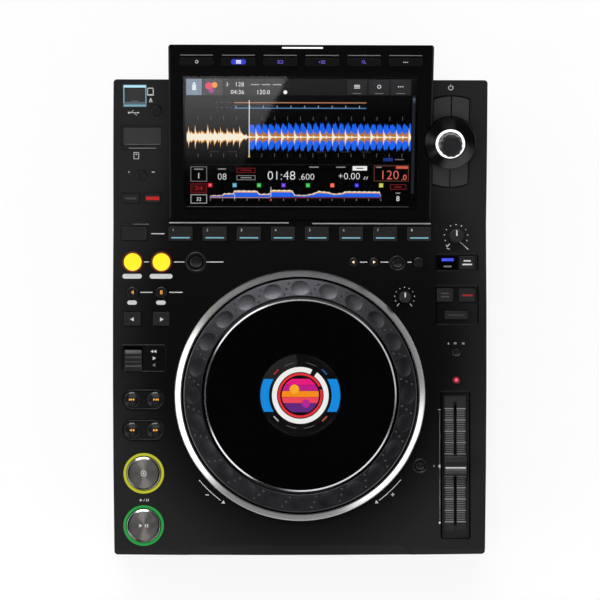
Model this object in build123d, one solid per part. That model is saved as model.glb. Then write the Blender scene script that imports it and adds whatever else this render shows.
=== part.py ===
from build123d import *
import math
import os

# Tabletop player for disc jockeys: a low case with a touch screen raised at the rear, a large
# jog dial in the middle of the deck, a column of controls at each side and a row of pads between.
# Millimetres, +Z up, +Y to the rear. The origin is under the middle of the case, at the feet.

# ---- Case ----------------------------------------------------------------------------------------
BODY_WIDTH = 331.0
BODY_DEPTH = 446.0
BODY_HEIGHT = 118.0
SIDE_BOW = 1.8
FRONT_BOW = 1.0
CORNER_RADIUS = 3.0
LEAST_CORNER_RADIUS = 1.2
FOOT_HEIGHT = 8.0
SEAM_HEIGHT = 30.0
DECK_HEIGHT = 66.0
PANEL_WALL = 3.0
SKIRT_WALL = 2.5
FRONT_BEVEL_DEPTH = 5.8
FRONT_BEVEL_DROP = 4.0
INNER_BEVEL_DEPTH = 7.0
OVERCUT = 1.0
FRONT_SCOOP_DEPTH = 8.7
FRONT_SCOOP_DROP = 6.0
FRONT_SCOOP_HALF_WIDTH = 98.5
FRONT_SCOOP_RUNOUT = 9.0
SHOULDER_ANGLE = 15.0
SHOULDER_LENGTH = 124.7
OVERHANG = 28.3
SEAM_GAP = 0.3
SEAM_STEP = 1.0

# ---- Display housing -----------------------------------------------------------------------------
HOUSING_WIDTH = 231.2
HOUSING_LENGTH = 149.0
HOUSING_WALL = 2.5
HOUSING_FACE_WALL = 3.5
HOUSING_LIP_HEIGHT = 5.5
HOUSING_CREASE_HEIGHT = 44.0
KEY_STRIP_DEPTH = 23.5
HOUSING_REAR_FACE = 21.0
HOUSING_EDGE_CHAMFER = 1.5
HOUSING_GAP = 0.3
HOUSING_ROOT_RISE = 14.0
SHELF_RIM = 15.0
GLASS_WIDTH = 206.0
GLASS_LENGTH = 119.5
GLASS_THICKNESS = 2.0
GLASS_GAP = 0.1
GLASS_FRONT_MARGIN = 8.7
GLASS_SHIFT = 0.2
SCREEN_WIDTH = 200.6
SCREEN_LENGTH = 113.0
LCD_MARGIN = 4.0
LCD_THICKNESS = 3.5
WINDOW_MARGIN = 1.0
MENU_KEY_COUNT = 6
MENU_KEY_PITCH = 36.4
MENU_KEY_WIDTH = 29.2
MENU_KEY_LENGTH = 7.0
MENU_KEY_UP_STRIP = 9.8
MENU_KEY_RISE = 0.6

# ---- Keys, buttons and the switches below them ---------------------------------------------------
KEY_CLEARANCE = 0.35
KEY_GAP = 0.3
KEY_FLANGE = 1.2
KEY_FLANGE_THICKNESS = 1.2
KEY_CHAMFER = 0.4
KEY_RISE = 1.2
PAD_RISE = 1.8
KEY_TRAVEL = 0.5
STEM_SIZE = 2.4
STEM_REST = 0.3
SWITCH_SIZE = 6.0
SWITCH_HEIGHT = 4.5
BOARD_DEPTH = 13.0
BOARD_THICKNESS = 1.6
BOARD_GAP = 1.0
RECESS_DEPTH = 0.8

# ---- Jog dial ------------------------------------------------------------------------------------
JOG_FROM_FRONT = 141.5
JOG_RING_OUTER = 111.0
JOG_RING_INNER = 104.6
JOG_RING_HEIGHT = 9.0
JOG_RING_EDGE = 1.2
JOG_RING_FIT = 0.2
DIAL_RADIUS = 103.0
DIAL_EDGE = 1.4
DIAL_TOP = 13.6
DIAL_FALL = 2.6
DIAL_BAND_INNER = 89.4
DIAL_WEB_TOP = 3.0
DIAL_WEB_THICKNESS = 3.0
DIMPLE_COUNT = 24
DIMPLE_RADIUS_FROM_CENTRE = 95.5
DIMPLE_LENGTH = 16.2
DIMPLE_WIDTH = 12.0
DIMPLE_DEPTH = 1.2
PLATE_RADIUS = 88.8
PLATE_BEVEL_WIDTH = 4.8
PLATE_BEVEL_DROP = 1.4
PLATE_TOP = 14.6
PLATE_THICKNESS = 2.2
PLATE_POST_COUNT = 3
PLATE_POST_SIZE = 4.0
PLATE_POST_CIRCLE = 60.0
PLATE_POST_GAP = 0.4
PLATE_POST_REACH = 1.0
SPINDLE_RADIUS = 12.0
SPINDLE_BORE = 8.0
BUSH_WALL = 3.0
BUSH_FLANGE_RADIUS = 19.0
BUSH_FLANGE_THICKNESS = 1.5
BUSH_RUNNING_FIT = 0.05
HUB_WALL = 5.0
HUB_THRUST_GAP = 0.2
SPIDER_DEPTH = 22.0
SPIDER_THICKNESS = 4.5
SPIDER_HUB_RADIUS = 30.0
SPIDER_ARM_WIDTH = 16.0
SPIDER_ARM_COUNT = 4
SPIDER_FOOT_CIRCLE = 116.0
SPIDER_FOOT_SIZE = 10.0
CENTRE_DISPLAY_RADIUS = 36.5
CENTRE_DISPLAY_THICKNESS = 4.0
CENTRE_DISPLAY_GAP = 1.0

# ---- Deck controls, measured from the case sides and from the front ------------------------------
LEFT_COLUMN_INSET = 17.4
LEFT_COLUMN_PITCH = 25.4
LOOP_ROW = 259.4
BEAT_LOOP_ROW = 232.4
BEAT_JUMP_ROW = 209.0
PAD_ROW = 284.4
PAD_COUNT = 8
PAD_PITCH = 30.2
PAD_WIDTH = 21.2
PAD_LENGTH = 12.8
LOOP_BUTTON_RADIUS = 7.5
RELOOP_INSET = 73.5
RELOOP_RADIUS = 5.1
BEAT_LOOP_RADIUS = 5.0
BEAT_JUMP_WIDTH = 14.6
BEAT_JUMP_LENGTH = 12.4
CALL_KEY_WIDTH = 22.1
CALL_KEY_LENGTH = 12.0
CALL_KEY_INSET = 19.1
TRACK_ROW = 137.7
SEARCH_ROW = 110.7
TRACK_INSET = 17.3
TRACK_PITCH = 20.4
TRACK_BUTTON_RADIUS = 7.0
TRACK_POCKET_LENGTH = 39.0
TRACK_POCKET_WIDTH = 20.4
CUE_ROW = 72.6
PLAY_ROW = 26.6
TRANSPORT_INSET = 27.5
TRANSPORT_RADIUS = 14.7
TRANSPORT_RISE = 2.6
TRANSPORT_TRAVEL = 0.8
TRANSPORT_FLANGE = 22.0
LIGHT_RING_INNER = 15.5
LIGHT_RING_OUTER = 17.8
LIGHT_RING_RISE = 0.5
LIGHT_RING_FIT = 0.1
CUE_CALL_X = 47.4
CUE_CALL_PITCH = 18.1
CUE_CALL_RADIUS = 4.0
DELETE_X = 86.3
DELETE_DROP = 0.9
DELETE_RADIUS = 4.2
MEMORY_X = 104.9
TEMPO_RESET_INSET = 59.3
TEMPO_RESET_ROW = 78.9
TEMPO_RESET_RADIUS = 3.6
RIGHT_COLUMN_INSET = 27.0
JOG_MODE_ROW = 259.0
JOG_MODE_RECESS_WIDTH = 39.0
JOG_MODE_RECESS_LENGTH = 14.6
JOG_MODE_KEY_WIDTH = 13.3
JOG_MODE_KEY_LENGTH = 12.0
JOG_MODE_KEY_INSET = 17.2
SYNC_ROW = 221.3
SYNC_RECESS_WIDTH = 38.5
SYNC_RECESS_LENGTH = 31.9
SYNC_KEY_ROW = 230.2
SYNC_KEY_WIDTH = 14.4
SYNC_KEY_LENGTH = 12.0
SYNC_KEY_PITCH = 19.7
KEY_SYNC_ROW = 212.5
KEY_SYNC_WIDTH = 20.4
KEY_SYNC_LENGTH = 7.6
TEMPO_RANGE_ROW = 179.3
TEMPO_RANGE_RADIUS = 3.8
MASTER_TEMPO_ROW = 155.0
MASTER_TEMPO_RADIUS = 3.6

# ---- Turning knobs on the deck -------------------------------------------------------------------
JOG_ADJUST_X = 92.7
JOG_ADJUST_ROW = 228.3
JOG_ADJUST_RADIUS = 5.6
VINYL_SPEED_ROW = 282.6
VINYL_SPEED_RADIUS = 6.6
KNOB_HEIGHT = 9.0
KNOB_SKIRT_GAP = 0.5
KNOB_TAPER = 0.7
KNOB_SHAFT_RADIUS = 3.0
KNOB_FIT = 0.05
KNOB_SHAFT_LENGTH = 6.0
POT_SIZE = 8.0
POINTER_WIDTH = 1.0
POINTER_DEPTH = 0.5

# ---- Direction lever -----------------------------------------------------------------------------
LEVER_ROW = 172.2
LEVER_INSET = 18.2
LEVER_WIDTH = 15.0
LEVER_LENGTH = 18.6
LEVER_RADIUS = 25.5
LEVER_PIVOT_DEPTH = 22.0
LEVER_PIVOT_RADIUS = 1.5
LEVER_PIVOT_FIT = 0.05
LEVER_ANGLE = 9.0
LEVER_GAP = 0.7
LEVER_HUB_RADIUS = 4.0
LEVER_CHEEK_THICKNESS = 3.0
LEVER_CHEEK_WIDTH = 9.0
LEVER_CHEEK_GAP = 0.4
LEVER_RIB_COUNT = 3
LEVER_RIB_PITCH = 4.5
LEVER_RIB_WIDTH = 1.2
LEVER_RIB_DEPTH = 0.9
LEVER_RECESS_WIDTH = 38.5
LEVER_RECESS_LENGTH = 24.6
LEVER_RECESS_INSET = 26.8
LEVER_RECESS_ROW = 174.0

# ---- Tempo fader ---------------------------------------------------------------------------------
FADER_INSET = 28.2
FADER_ROW = 79.5
FADER_TRAVEL = 50.0
FADER_RECESS_WIDTH = 23.0
FADER_RECESS_LENGTH = 127.4
FADER_SLOT_WIDTH = 2.6
FADER_STEM_WIDTH = 1.4
FADER_STEM_LENGTH = 5.0
FADER_END_GAP = 0.7
FADER_BODY_WIDTH = 12.0
FADER_BODY_LENGTH = 128.0
FADER_BODY_HEIGHT = 11.0
FADER_TROUGH_WIDTH = 5.0
FADER_STEM_DEPTH = 9.0
FADER_CAP_WIDTH = 19.0
FADER_CAP_LENGTH = 19.4
FADER_CAP_HEIGHT = 9.0
FADER_CAP_VALLEY = 2.4
FADER_CAP_CREST = 3.2
FADER_CAP_TAPER = 1.6
FADER_CAP_GAP = 0.5

# ---- Shoulder controls, measured up the slope ----------------------------------------------------
USB_INSET = 20.3
USB_UP = 114.6
USB_FRAME_WIDTH = 21.0
USB_FRAME_LENGTH = 19.9
USB_DOOR_WIDTH = 17.4
USB_DOOR_LENGTH = 12.2
USB_DOOR_UP = 0.7
DOOR_THICKNESS = 1.8
DOOR_GAP = 0.35
DOOR_SIDE_GAP = 0.2
DOOR_NOTCH_WIDTH = 8.0
DOOR_NOTCH_LENGTH = 3.0
DOOR_PIN_RADIUS = 0.7
DOOR_PIN_LENGTH = 1.0
DOOR_PIN_FIT = 0.05
DOOR_KNUCKLE_RADIUS = 1.1
USB_WELL_DEPTH = 11.0
WELL_WALL = 1.5
USB_A_WIDTH = 13.2
USB_A_HEIGHT = 5.8
USB_A_DEPTH = 14.0
USB_A_WALL = 0.4
USB_A_TONGUE = 2.0
SD_INSET = 26.4
SD_UP = 78.5
SD_DOOR_WIDTH = 33.3
SD_DOOR_LENGTH = 15.9
SD_RECESS_WIDTH = 37.7
SD_RECESS_LENGTH = 22.7
SD_RECESS_UP = 77.5
SD_WELL_DEPTH = 10.0
SD_SOCKET_WIDTH = 26.0
SD_SOCKET_HEIGHT = 4.0
SD_SOCKET_DEPTH = 20.0
SD_SLOT_WIDTH = 24.4
SD_SLOT_HEIGHT = 2.3
SOCKET_FLOOR = 1.0
USB_STOP_INSET = 38.6
USB_STOP_UP = 101.8
SMALL_BUTTON_RADIUS = 4.4
TIME_MODE_INSET = 25.3
TIME_MODE_UP = 44.0
SLIP_INSET = 15.8
SLIP_UP = 23.4
SLIP_WIDTH = 15.4
SLIP_LENGTH = 8.2
QUANTIZE_INSET = 35.2
QUANTIZE_WIDTH = 14.1

# ---- Selector and the keys round it --------------------------------------------------------------
SELECTOR_INSET = 34.0
SELECTOR_UP = 73.8
TURRET_RADIUS = 23.0
TURRET_RISE = 8.0
TURRET_EDGE = 1.2
TURRET_WALL = 2.5
TURRET_GAP = 0.3
SELECTOR_RING_OUTER = 12.9
SELECTOR_RING_INNER = 10.7
SELECTOR_RING_DEPTH = 3.0
SELECTOR_RADIUS = 10.2
SELECTOR_HEIGHT = 14.0
SELECTOR_SINK = 1.0
SELECTOR_CROWN = 1.0
SELECTOR_SEAT = 2.0
SELECTOR_RING_RISE = 0.3
SELECTOR_RING_FIT = 0.1
PLUNGER_RADIUS = 3.5
PLUNGER_FIT = 0.05
PLUNGER_TRAVEL = 0.6
PLUNGER_HEAD = 9.0
ENCODER_SIZE = 14.0
ENCODER_HEIGHT = 7.0
BROWSE_KEY_WIDTH = 15.0
BROWSE_KEY_SPLIT = 1.0
BROWSE_TOP_UP = 114.7
BROWSE_BOTTOM_UP = 34.3
BROWSE_ARCH = 3.0
BROWSE_POCKET_MARGIN = 1.2
BROWSE_POCKET_DEPTH = 1.0
BROWSE_SHIFT = 0.7
BROWSE_TURRET_GAP = 0.6
BROWSE_SIDE_FLANGE = 0.5
BROWSE_WALL_RELIEF = 1.2

# ---- Rear panel ----------------------------------------------------------------------------------
REAR_PANEL_TOP = 58.0
REAR_PANEL_INSET = 15.5
JACK_HEIGHT = 36.0
AC_X = -100.0
AC_FLANGE_WIDTH = 31.0
AC_FLANGE_HEIGHT = 24.0
AC_FLANGE_THICKNESS = 2.0
AC_BODY_WIDTH = 27.5
AC_BODY_HEIGHT = 19.8
AC_BODY_DEPTH = 26.0
AC_CAVITY_WIDTH = 24.5
AC_CAVITY_HEIGHT = 16.8
AC_CAVITY_DEPTH = 18.0
AC_PIN_LENGTH = 12.5
AC_PIN_WIDTH = 2.0
AC_PIN_HEIGHT = 4.0
AC_PIN_SPACING = 14.0
AC_PIN_OFFSET = 2.0
AC_EARTH_OFFSET = 4.0
LAN_X = -66.0
LAN_WIDTH = 16.0
LAN_HEIGHT = 13.5
LAN_DEPTH = 21.0
LAN_PORT_WIDTH = 11.8
LAN_PORT_HEIGHT = 8.4
LAN_PORT_DEPTH = 13.0
USB_B_X = -38.0
USB_B_WIDTH = 12.0
USB_B_HEIGHT = 11.0
USB_B_DEPTH = 16.0
USB_B_MOUTH_WIDTH = 8.5
USB_B_MOUTH_HEIGHT = 7.8
USB_B_MOUTH_DEPTH = 9.0
USB_B_TONGUE_WIDTH = 5.6
USB_B_TONGUE_HEIGHT = 3.2
USB_B_TONGUE_SINK = 1.0
RCA_X = (4.0, 48.0, 72.0)
RCA_RADIUS = 4.15
RCA_BORE = 1.6
RCA_LENGTH = 9.0
RCA_BLOCK = 11.0
RCA_BLOCK_DEPTH = 14.0
RCA_BLOCK_RISE = 0.8
SOCKET_GAP = 0.2
LOCK_SLOT_X = 120.0
LOCK_SLOT_WIDTH = 3.2
LOCK_SLOT_HEIGHT = 7.2
POWER_INSET = 34.0
POWER_HEIGHT = 72.0
POWER_RADIUS = 5.0
POWER_RISE = 2.5
POWER_TRAVEL = 1.5
POWER_BOARD = 16.0

# ---- Bottom chassis and what stands on it --------------------------------------------------------
CHASSIS_WALL = 2.0
RIM_WALL = 4.3
RIM_HEIGHT = 4.0
LIP_HEIGHT = 6.0
LIP_GAP = 0.3
FOOT_RADIUS = 15.0
FOOT_INSET = 36.0
FOOT_FROM_FRONT = 38.0
FOOT_FROM_REAR = 30.0
VENT_COUNT = 9
VENT_WIDTH = 3.0
VENT_LENGTH = 34.0
VENT_PITCH = 8.0
VENT_X = 84.0
VENT_FROM_REAR = 80.0
BOSS_SIZE = 7.0
STANDOFF_SIZE = 5.0
STANDOFF_HEIGHT = 6.0
MAIN_BOARD_WIDTH = 170.0
MAIN_BOARD_LENGTH = 120.0
MAIN_BOARD_X = 20.0
MAIN_BOARD_FROM_REAR = 66.0
SUPPLY_WIDTH = 80.0
SUPPLY_LENGTH = 110.0
SUPPLY_X = -110.0
SUPPLY_FROM_REAR = 90.0
STANDOFF_INSET = 6.0
PEG_SIZE = 4.0
DECK_BOARD_EDGE = 6.0
DECK_BOARD_FRONT = 12.0
DECK_BOARD_REAR = 291.0
DECK_STRIP_WIDTH = 49.0
RIGHT_STRIP_WIDTH = 66.0
CENTRE_STRIP_FRONT = 248.0
SHOULDER_BOARD_EDGE = 3.6
SHOULDER_BOARD_FRONT = 15.0
LEFT_BOARD_REAR = 121.5
RIGHT_BOARD_REAR = 110.0
CHIPS = (
    (-40.0, 10.0, 32.0, 32.0, 9.0),
    (5.0, 14.0, 14.0, 20.0, 1.5),
    (30.0, 14.0, 14.0, 20.0, 1.5),
    (62.0, -20.0, 12.0, 40.0, 6.0),
    (-10.0, -46.0, 60.0, 8.0, 6.0),
)
SUPPLY_BLOCKS = (
    (-14.0, 22.0, 32.0, 28.0, 22.0),
    (28.0, 0.0, 4.0, 60.0, 24.0),
    (-14.0, -44.0, 36.0, 10.0, 9.0),
)
SUPPLY_CANS = ((-20.0, -18.0, 9.0, 26.0), (6.0, -18.0, 6.0, 22.0))

# ---- Screw bosses and board pegs: inset from a side, and distance from the front -----------------
BOSS_PLACES = ((11.0, 10.5), (9.0, 92.0), (9.0, 300.0))
LEFT_DECK_PEGS = ((47.0, 14.0), (45.0, 96.0), (10.0, 245.0))
RIGHT_DECK_PEGS = ((45.0, 40.0), (45.0, 212.0), (10.0, 160.0))

# The rear bosses are measured from the rear, the shoulder pegs up the slope, the middle pegs across.
LEFT_REAR_BOSS = (42.0, 7.0)
RIGHT_REAR_BOSS = (14.0, 9.0)
LEFT_SHOULDER_PEGS = ((12.0, 36.0), (43.0, 60.0), (43.0, 112.0))
RIGHT_SHOULDER_PEGS = ((14.0, 50.0), (14.0, 100.0))
MIDDLE_DECK_PEGS = ((-60.0, 262.0), (20.0, 262.0))

# ---- Places worked out from the sizes above ------------------------------------------------------
LEFT = -BODY_WIDTH / 2
RIGHT = BODY_WIDTH / 2
FRONT = -BODY_DEPTH / 2
REAR = BODY_DEPTH / 2
BODY_REAR = REAR - OVERHANG
SHOULDER_FRONT = BODY_REAR - SHOULDER_LENGTH
FLOOR_TOP = FOOT_HEIGHT + CHASSIS_WALL
DECK_UNDER = DECK_HEIGHT - PANEL_WALL
HOUSING_FRONT = REAR - HOUSING_LENGTH
HOUSING_CREASE = REAR - KEY_STRIP_DEPTH
HOUSING_FRONT_TOP = DECK_HEIGHT + HOUSING_LIP_HEIGHT
HOUSING_CREASE_TOP = DECK_HEIGHT + HOUSING_CREASE_HEIGHT
HOUSING_UNDERSIDE = BODY_HEIGHT - HOUSING_REAR_FACE
JOG_Y = FRONT + JOG_FROM_FRONT
DIAL_WEB_UNDER = DECK_HEIGHT + DIAL_WEB_TOP - DIAL_WEB_THICKNESS
SPIDER_TOP = DECK_HEIGHT - SPIDER_DEPTH + SPIDER_THICKNESS
BUSH_RADIUS = SPINDLE_RADIUS + BUSH_WALL
BUSH_FLANGE_TOP = SPIDER_TOP + BUSH_FLANGE_THICKNESS
PLATE_UNDER = DECK_HEIGHT + PLATE_TOP - PLATE_THICKNESS
CENTRE_DISPLAY_TOP = PLATE_UNDER - CENTRE_DISPLAY_GAP
SPINDLE_TOP = CENTRE_DISPLAY_TOP - CENTRE_DISPLAY_THICKNESS
FLANGE_TOP = -PANEL_WALL - KEY_GAP
SWITCH_TOP = -BOARD_DEPTH + SWITCH_HEIGHT
HOUSING_SIDE = HOUSING_WIDTH / 2
LEFT_X = LEFT + LEFT_COLUMN_INSET
LEFT_INNER_X = LEFT_X + LEFT_COLUMN_PITCH
RIGHT_X = RIGHT - RIGHT_COLUMN_INSET
TRACK_X = LEFT + TRACK_INSET
TRACK_INNER_X = TRACK_X + TRACK_PITCH
TRANSPORT_X = LEFT + TRANSPORT_INSET
FADER_X = RIGHT - FADER_INSET
FADER_Y = FRONT + FADER_ROW
LEVER_X = LEFT + LEVER_INSET
LEVER_Y = FRONT + LEVER_ROW
SELECTOR_X = RIGHT - SELECTOR_INSET
BROWSE_X = SELECTOR_X + BROWSE_SHIFT
TURRET_BORE = TURRET_RADIUS - TURRET_WALL
POWER_X = RIGHT - POWER_INSET
USB_X = LEFT + USB_INSET
USB_DOOR_CENTRE = USB_UP + USB_DOOR_UP
SD_X = LEFT + SD_INSET
RELOOP_X = LEFT + RELOOP_INSET
TEMPO_RESET_X = RIGHT - TEMPO_RESET_INSET
REAR_PANEL_HALF_WIDTH = RIGHT - REAR_PANEL_INSET
GLASS_UP = GLASS_FRONT_MARGIN + GLASS_LENGTH / 2


def tilted(front, height, rise, run):
    """A plane that starts at a line across the case and climbs to the rear: x stays x, y runs uphill."""
    angle = math.atan2(rise, run)
    normal = (0, -math.sin(angle), math.cos(angle))
    return Plane(origin=(0, front, height), x_dir=(1, 0, 0), z_dir=normal)


DECK = Plane(origin=(0, 0, DECK_HEIGHT))
SHOULDER_RISE = SHOULDER_LENGTH * math.tan(math.radians(SHOULDER_ANGLE))
SHOULDER = tilted(SHOULDER_FRONT, DECK_HEIGHT, SHOULDER_RISE, SHOULDER_LENGTH)
SCREEN_RISE = HOUSING_CREASE_TOP - HOUSING_FRONT_TOP
SCREEN_RUN = HOUSING_CREASE - HOUSING_FRONT
SCREEN = tilted(HOUSING_FRONT, HOUSING_FRONT_TOP, SCREEN_RISE, SCREEN_RUN)
STRIP_RISE = BODY_HEIGHT - HOUSING_CREASE_TOP
STRIP = tilted(HOUSING_CREASE, HOUSING_CREASE_TOP, STRIP_RISE, KEY_STRIP_DEPTH)
REAR_FACE = Plane(origin=(0, BODY_REAR, 0), x_dir=(-1, 0, 0), z_dir=(0, 1, 0))


def place(plane, x, y, solid):
    """Carry a solid drawn at a panel's own origin to a point on that panel."""
    return plane.location * Pos(x, y, 0) * solid


def at_usb_door(solid):
    """Carry a solid to the middle of the memory-stick door."""
    return place(SHOULDER, USB_X, USB_DOOR_CENTRE, solid)


def at_card_door(solid):
    """Carry a solid to the middle of the memory-card door."""
    return place(SHOULDER, SD_X, SD_UP, solid)


def at_selector(solid):
    """Carry a solid to the selector's axis."""
    return place(SHOULDER, SELECTOR_X, SELECTOR_UP, solid)


def at_browse(solid):
    """Carry a solid to the line between the left and right browse keys."""
    return place(SHOULDER, BROWSE_X, 0.0, solid)


def at_power(solid):
    """Carry a solid to the power button's axis on the rear wall."""
    return place(REAR_FACE, -POWER_X, POWER_HEIGHT, solid)


def at_jog(solid):
    """Carry a solid to the jog dial's axis."""
    return Pos(0, JOG_Y, 0) * solid


def block(x_low, x_high, y_low, y_high, z_low, z_high):
    """A box given by its two opposite corners."""
    size = (x_high - x_low, y_high - y_low, z_high - z_low)
    middle = Pos((x_low + x_high) / 2, (y_low + y_high) / 2, (z_low + z_high) / 2)
    return middle * Box(*size)


def slab(width, length, z_low, z_high):
    """A box centred on its panel's own z axis."""
    return block(-width / 2, width / 2, -length / 2, length / 2, z_low, z_high)


def post(radius, z_low, z_high, x=0.0, y=0.0):
    """An upright cylinder between two heights."""
    return Pos(x, y, (z_low + z_high) / 2) * Cylinder(radius, z_high - z_low)


def square_post(side, z_low, z_high, x=0.0, y=0.0):
    """An upright square bar between two heights."""
    return Pos(x, y, 0) * slab(side, side, z_low, z_high)


def turned(points):
    """A body of revolution about z from its half section, given as radius and height."""
    section = make_face(Polyline(*points, close=True))
    return revolve(Plane.XZ * section, Axis.Z)


def side_profile(points, width):
    """A solid as wide as given, with a side view given as depth and height."""
    section = make_face(Polyline(*points, close=True))
    return extrude(Plane.YZ * section, amount=width / 2, both=True)


def column(outline, z_low, z_high):
    """An upright solid on a plan outline."""
    return extrude(Pos(0, 0, z_low) * outline, amount=z_high - z_low)


def stadium(length, width, z_low, z_high):
    """A slot-shaped solid with round ends, long in x."""
    return column(SlotOverall(length, width), z_low, z_high)


def body_outline(inset):
    """Plan of the case, drawn in by an inset: bowed sides, a bowed front and rounded corners."""
    half = BODY_WIDTH / 2 - inset
    front = FRONT + inset
    rear = BODY_REAR - inset
    side = half - SIDE_BOW
    corner_y = front + FRONT_BOW
    middle = (front + rear) / 2
    edges = [
        ThreePointArc((-side, corner_y), (0, front), (side, corner_y)),
        ThreePointArc((side, corner_y), (half, middle), (side, rear)),
        Line((side, rear), (-side, rear)),
        ThreePointArc((-side, rear), (-half, middle), (-side, corner_y)),
    ]
    face = make_face(edges)
    radius = CORNER_RADIUS - inset
    return fillet(face.vertices(), radius) if radius > LEAST_CORNER_RADIUS else face


# ---- What a key is made of -----------------------------------------------------------------------
def key_below(width, length, flange_top, travel=KEY_TRAVEL):
    """A key's hidden half: the flange that holds it in, and a square stem down to its switch."""
    under = flange_top - KEY_FLANGE_THICKNESS
    flange = slab(width + 2 * KEY_FLANGE, length + 2 * KEY_FLANGE, under, flange_top)
    return flange + square_post(STEM_SIZE, SWITCH_TOP + travel + STEM_REST, under)


def square_key(width, length, rise=KEY_RISE):
    """A rectangular key at its panel's origin, with a bevelled top."""
    cap = slab(width, length, FLANGE_TOP, rise)
    cap = chamfer(cap.faces().sort_by(Axis.Z)[-1].edges(), KEY_CHAMFER)
    return cap + key_below(width, length, FLANGE_TOP)


def round_button(radius, rise=KEY_RISE, travel=KEY_TRAVEL):
    """A round button at its panel's origin."""
    return post(radius, FLANGE_TOP, rise) + key_below(2 * radius, 2 * radius, FLANGE_TOP, travel)


def square_hole(width, length):
    """The opening that a rectangular key moves in."""
    return slab(width + 2 * KEY_CLEARANCE, length + 2 * KEY_CLEARANCE, -2 * PANEL_WALL, PANEL_WALL)


def round_hole(radius):
    """The opening that a round button moves in."""
    return post(radius + KEY_CLEARANCE, -2 * PANEL_WALL, PANEL_WALL)


def switch():
    """A push switch on its board, just below the stem that presses it."""
    return square_post(SWITCH_SIZE, -BOARD_DEPTH, -BOARD_DEPTH + SWITCH_HEIGHT)


# ---- Where the deck's keys and buttons are -------------------------------------------------------
ROUND_BUTTONS = {
    "loop_in_button": (LEFT_X, LOOP_ROW, LOOP_BUTTON_RADIUS),
    "loop_out_button": (LEFT_INNER_X, LOOP_ROW, LOOP_BUTTON_RADIUS),
    "reloop_button": (RELOOP_X, LOOP_ROW, RELOOP_RADIUS),
    "track_back_button": (TRACK_X, TRACK_ROW, TRACK_BUTTON_RADIUS),
    "track_forward_button": (TRACK_INNER_X, TRACK_ROW, TRACK_BUTTON_RADIUS),
    "search_back_button": (TRACK_X, SEARCH_ROW, TRACK_BUTTON_RADIUS),
    "search_forward_button": (TRACK_INNER_X, SEARCH_ROW, TRACK_BUTTON_RADIUS),
    "delete_button": (DELETE_X, LOOP_ROW - DELETE_DROP, DELETE_RADIUS),
    "memory_button": (MEMORY_X, LOOP_ROW, DELETE_RADIUS),
    "tempo_reset_button": (TEMPO_RESET_X, TEMPO_RESET_ROW, TEMPO_RESET_RADIUS),
    "tempo_range_button": (RIGHT_X, TEMPO_RANGE_ROW, TEMPO_RANGE_RADIUS),
    "master_tempo_button": (RIGHT_X, MASTER_TEMPO_ROW, MASTER_TEMPO_RADIUS),
}
BEAT_LOOP_X = (LEFT_X, LEFT_INNER_X)
CUE_CALL_XS = (CUE_CALL_X, CUE_CALL_X + CUE_CALL_PITCH)
SQUARE_KEYS = {
    "beat_jump_back_key": (LEFT_X, BEAT_JUMP_ROW, BEAT_JUMP_WIDTH, BEAT_JUMP_LENGTH),
    "beat_jump_forward_key": (LEFT_INNER_X, BEAT_JUMP_ROW, BEAT_JUMP_WIDTH, BEAT_JUMP_LENGTH),
    "call_delete_key": (LEFT + CALL_KEY_INSET, PAD_ROW, CALL_KEY_WIDTH, CALL_KEY_LENGTH),
    "jog_mode_key": (RIGHT - JOG_MODE_KEY_INSET, JOG_MODE_ROW, JOG_MODE_KEY_WIDTH, JOG_MODE_KEY_LENGTH),
    "beat_sync_key": (RIGHT_X - SYNC_KEY_PITCH / 2, SYNC_KEY_ROW, SYNC_KEY_WIDTH, SYNC_KEY_LENGTH),
    "master_key": (RIGHT_X + SYNC_KEY_PITCH / 2, SYNC_KEY_ROW, SYNC_KEY_WIDTH, SYNC_KEY_LENGTH),
    "key_sync_key": (RIGHT_X, KEY_SYNC_ROW, KEY_SYNC_WIDTH, KEY_SYNC_LENGTH),
}
TRANSPORT_BUTTONS = {"cue_button": CUE_ROW, "play_button": PLAY_ROW}
PAD_XS = [PAD_PITCH * (index - (PAD_COUNT - 1) / 2) for index in range(PAD_COUNT)]
MENU_XS = [MENU_KEY_PITCH * (index - (MENU_KEY_COUNT - 1) / 2) for index in range(MENU_KEY_COUNT)]
SHOULDER_BUTTONS = {
    "usb_stop_button": (LEFT + USB_STOP_INSET, USB_STOP_UP),
    "time_mode_button": (LEFT + TIME_MODE_INSET, TIME_MODE_UP),
}
SHOULDER_KEYS = {
    "slip_key": (LEFT + SLIP_INSET, SLIP_UP, SLIP_WIDTH, SLIP_LENGTH),
    "quantize_key": (LEFT + QUANTIZE_INSET, SLIP_UP, QUANTIZE_WIDTH, SLIP_LENGTH),
}
KNOBS = {
    "jog_adjust_knob": (JOG_ADJUST_X, JOG_ADJUST_ROW, JOG_ADJUST_RADIUS),
    "vinyl_speed_knob": (RIGHT_X, VINYL_SPEED_ROW, VINYL_SPEED_RADIUS),
}
BOSSES = [(side * (RIGHT - inset), FRONT + row) for inset, row in BOSS_PLACES for side in (-1, 1)]
BOSSES += [
    (LEFT + LEFT_REAR_BOSS[0], BODY_REAR - LEFT_REAR_BOSS[1]),
    (RIGHT - RIGHT_REAR_BOSS[0], BODY_REAR - RIGHT_REAR_BOSS[1]),
]
DECK_PEGS = [(LEFT + inset, FRONT + row) for inset, row in LEFT_DECK_PEGS]
DECK_PEGS += [(RIGHT - inset, FRONT + row) for inset, row in RIGHT_DECK_PEGS]
DECK_PEGS += [(x, FRONT + row) for x, row in MIDDLE_DECK_PEGS]
SHOULDER_PEGS = [(LEFT + inset, up) for inset, up in LEFT_SHOULDER_PEGS]
SHOULDER_PEGS += [(RIGHT - inset, up) for inset, up in RIGHT_SHOULDER_PEGS]


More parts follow.
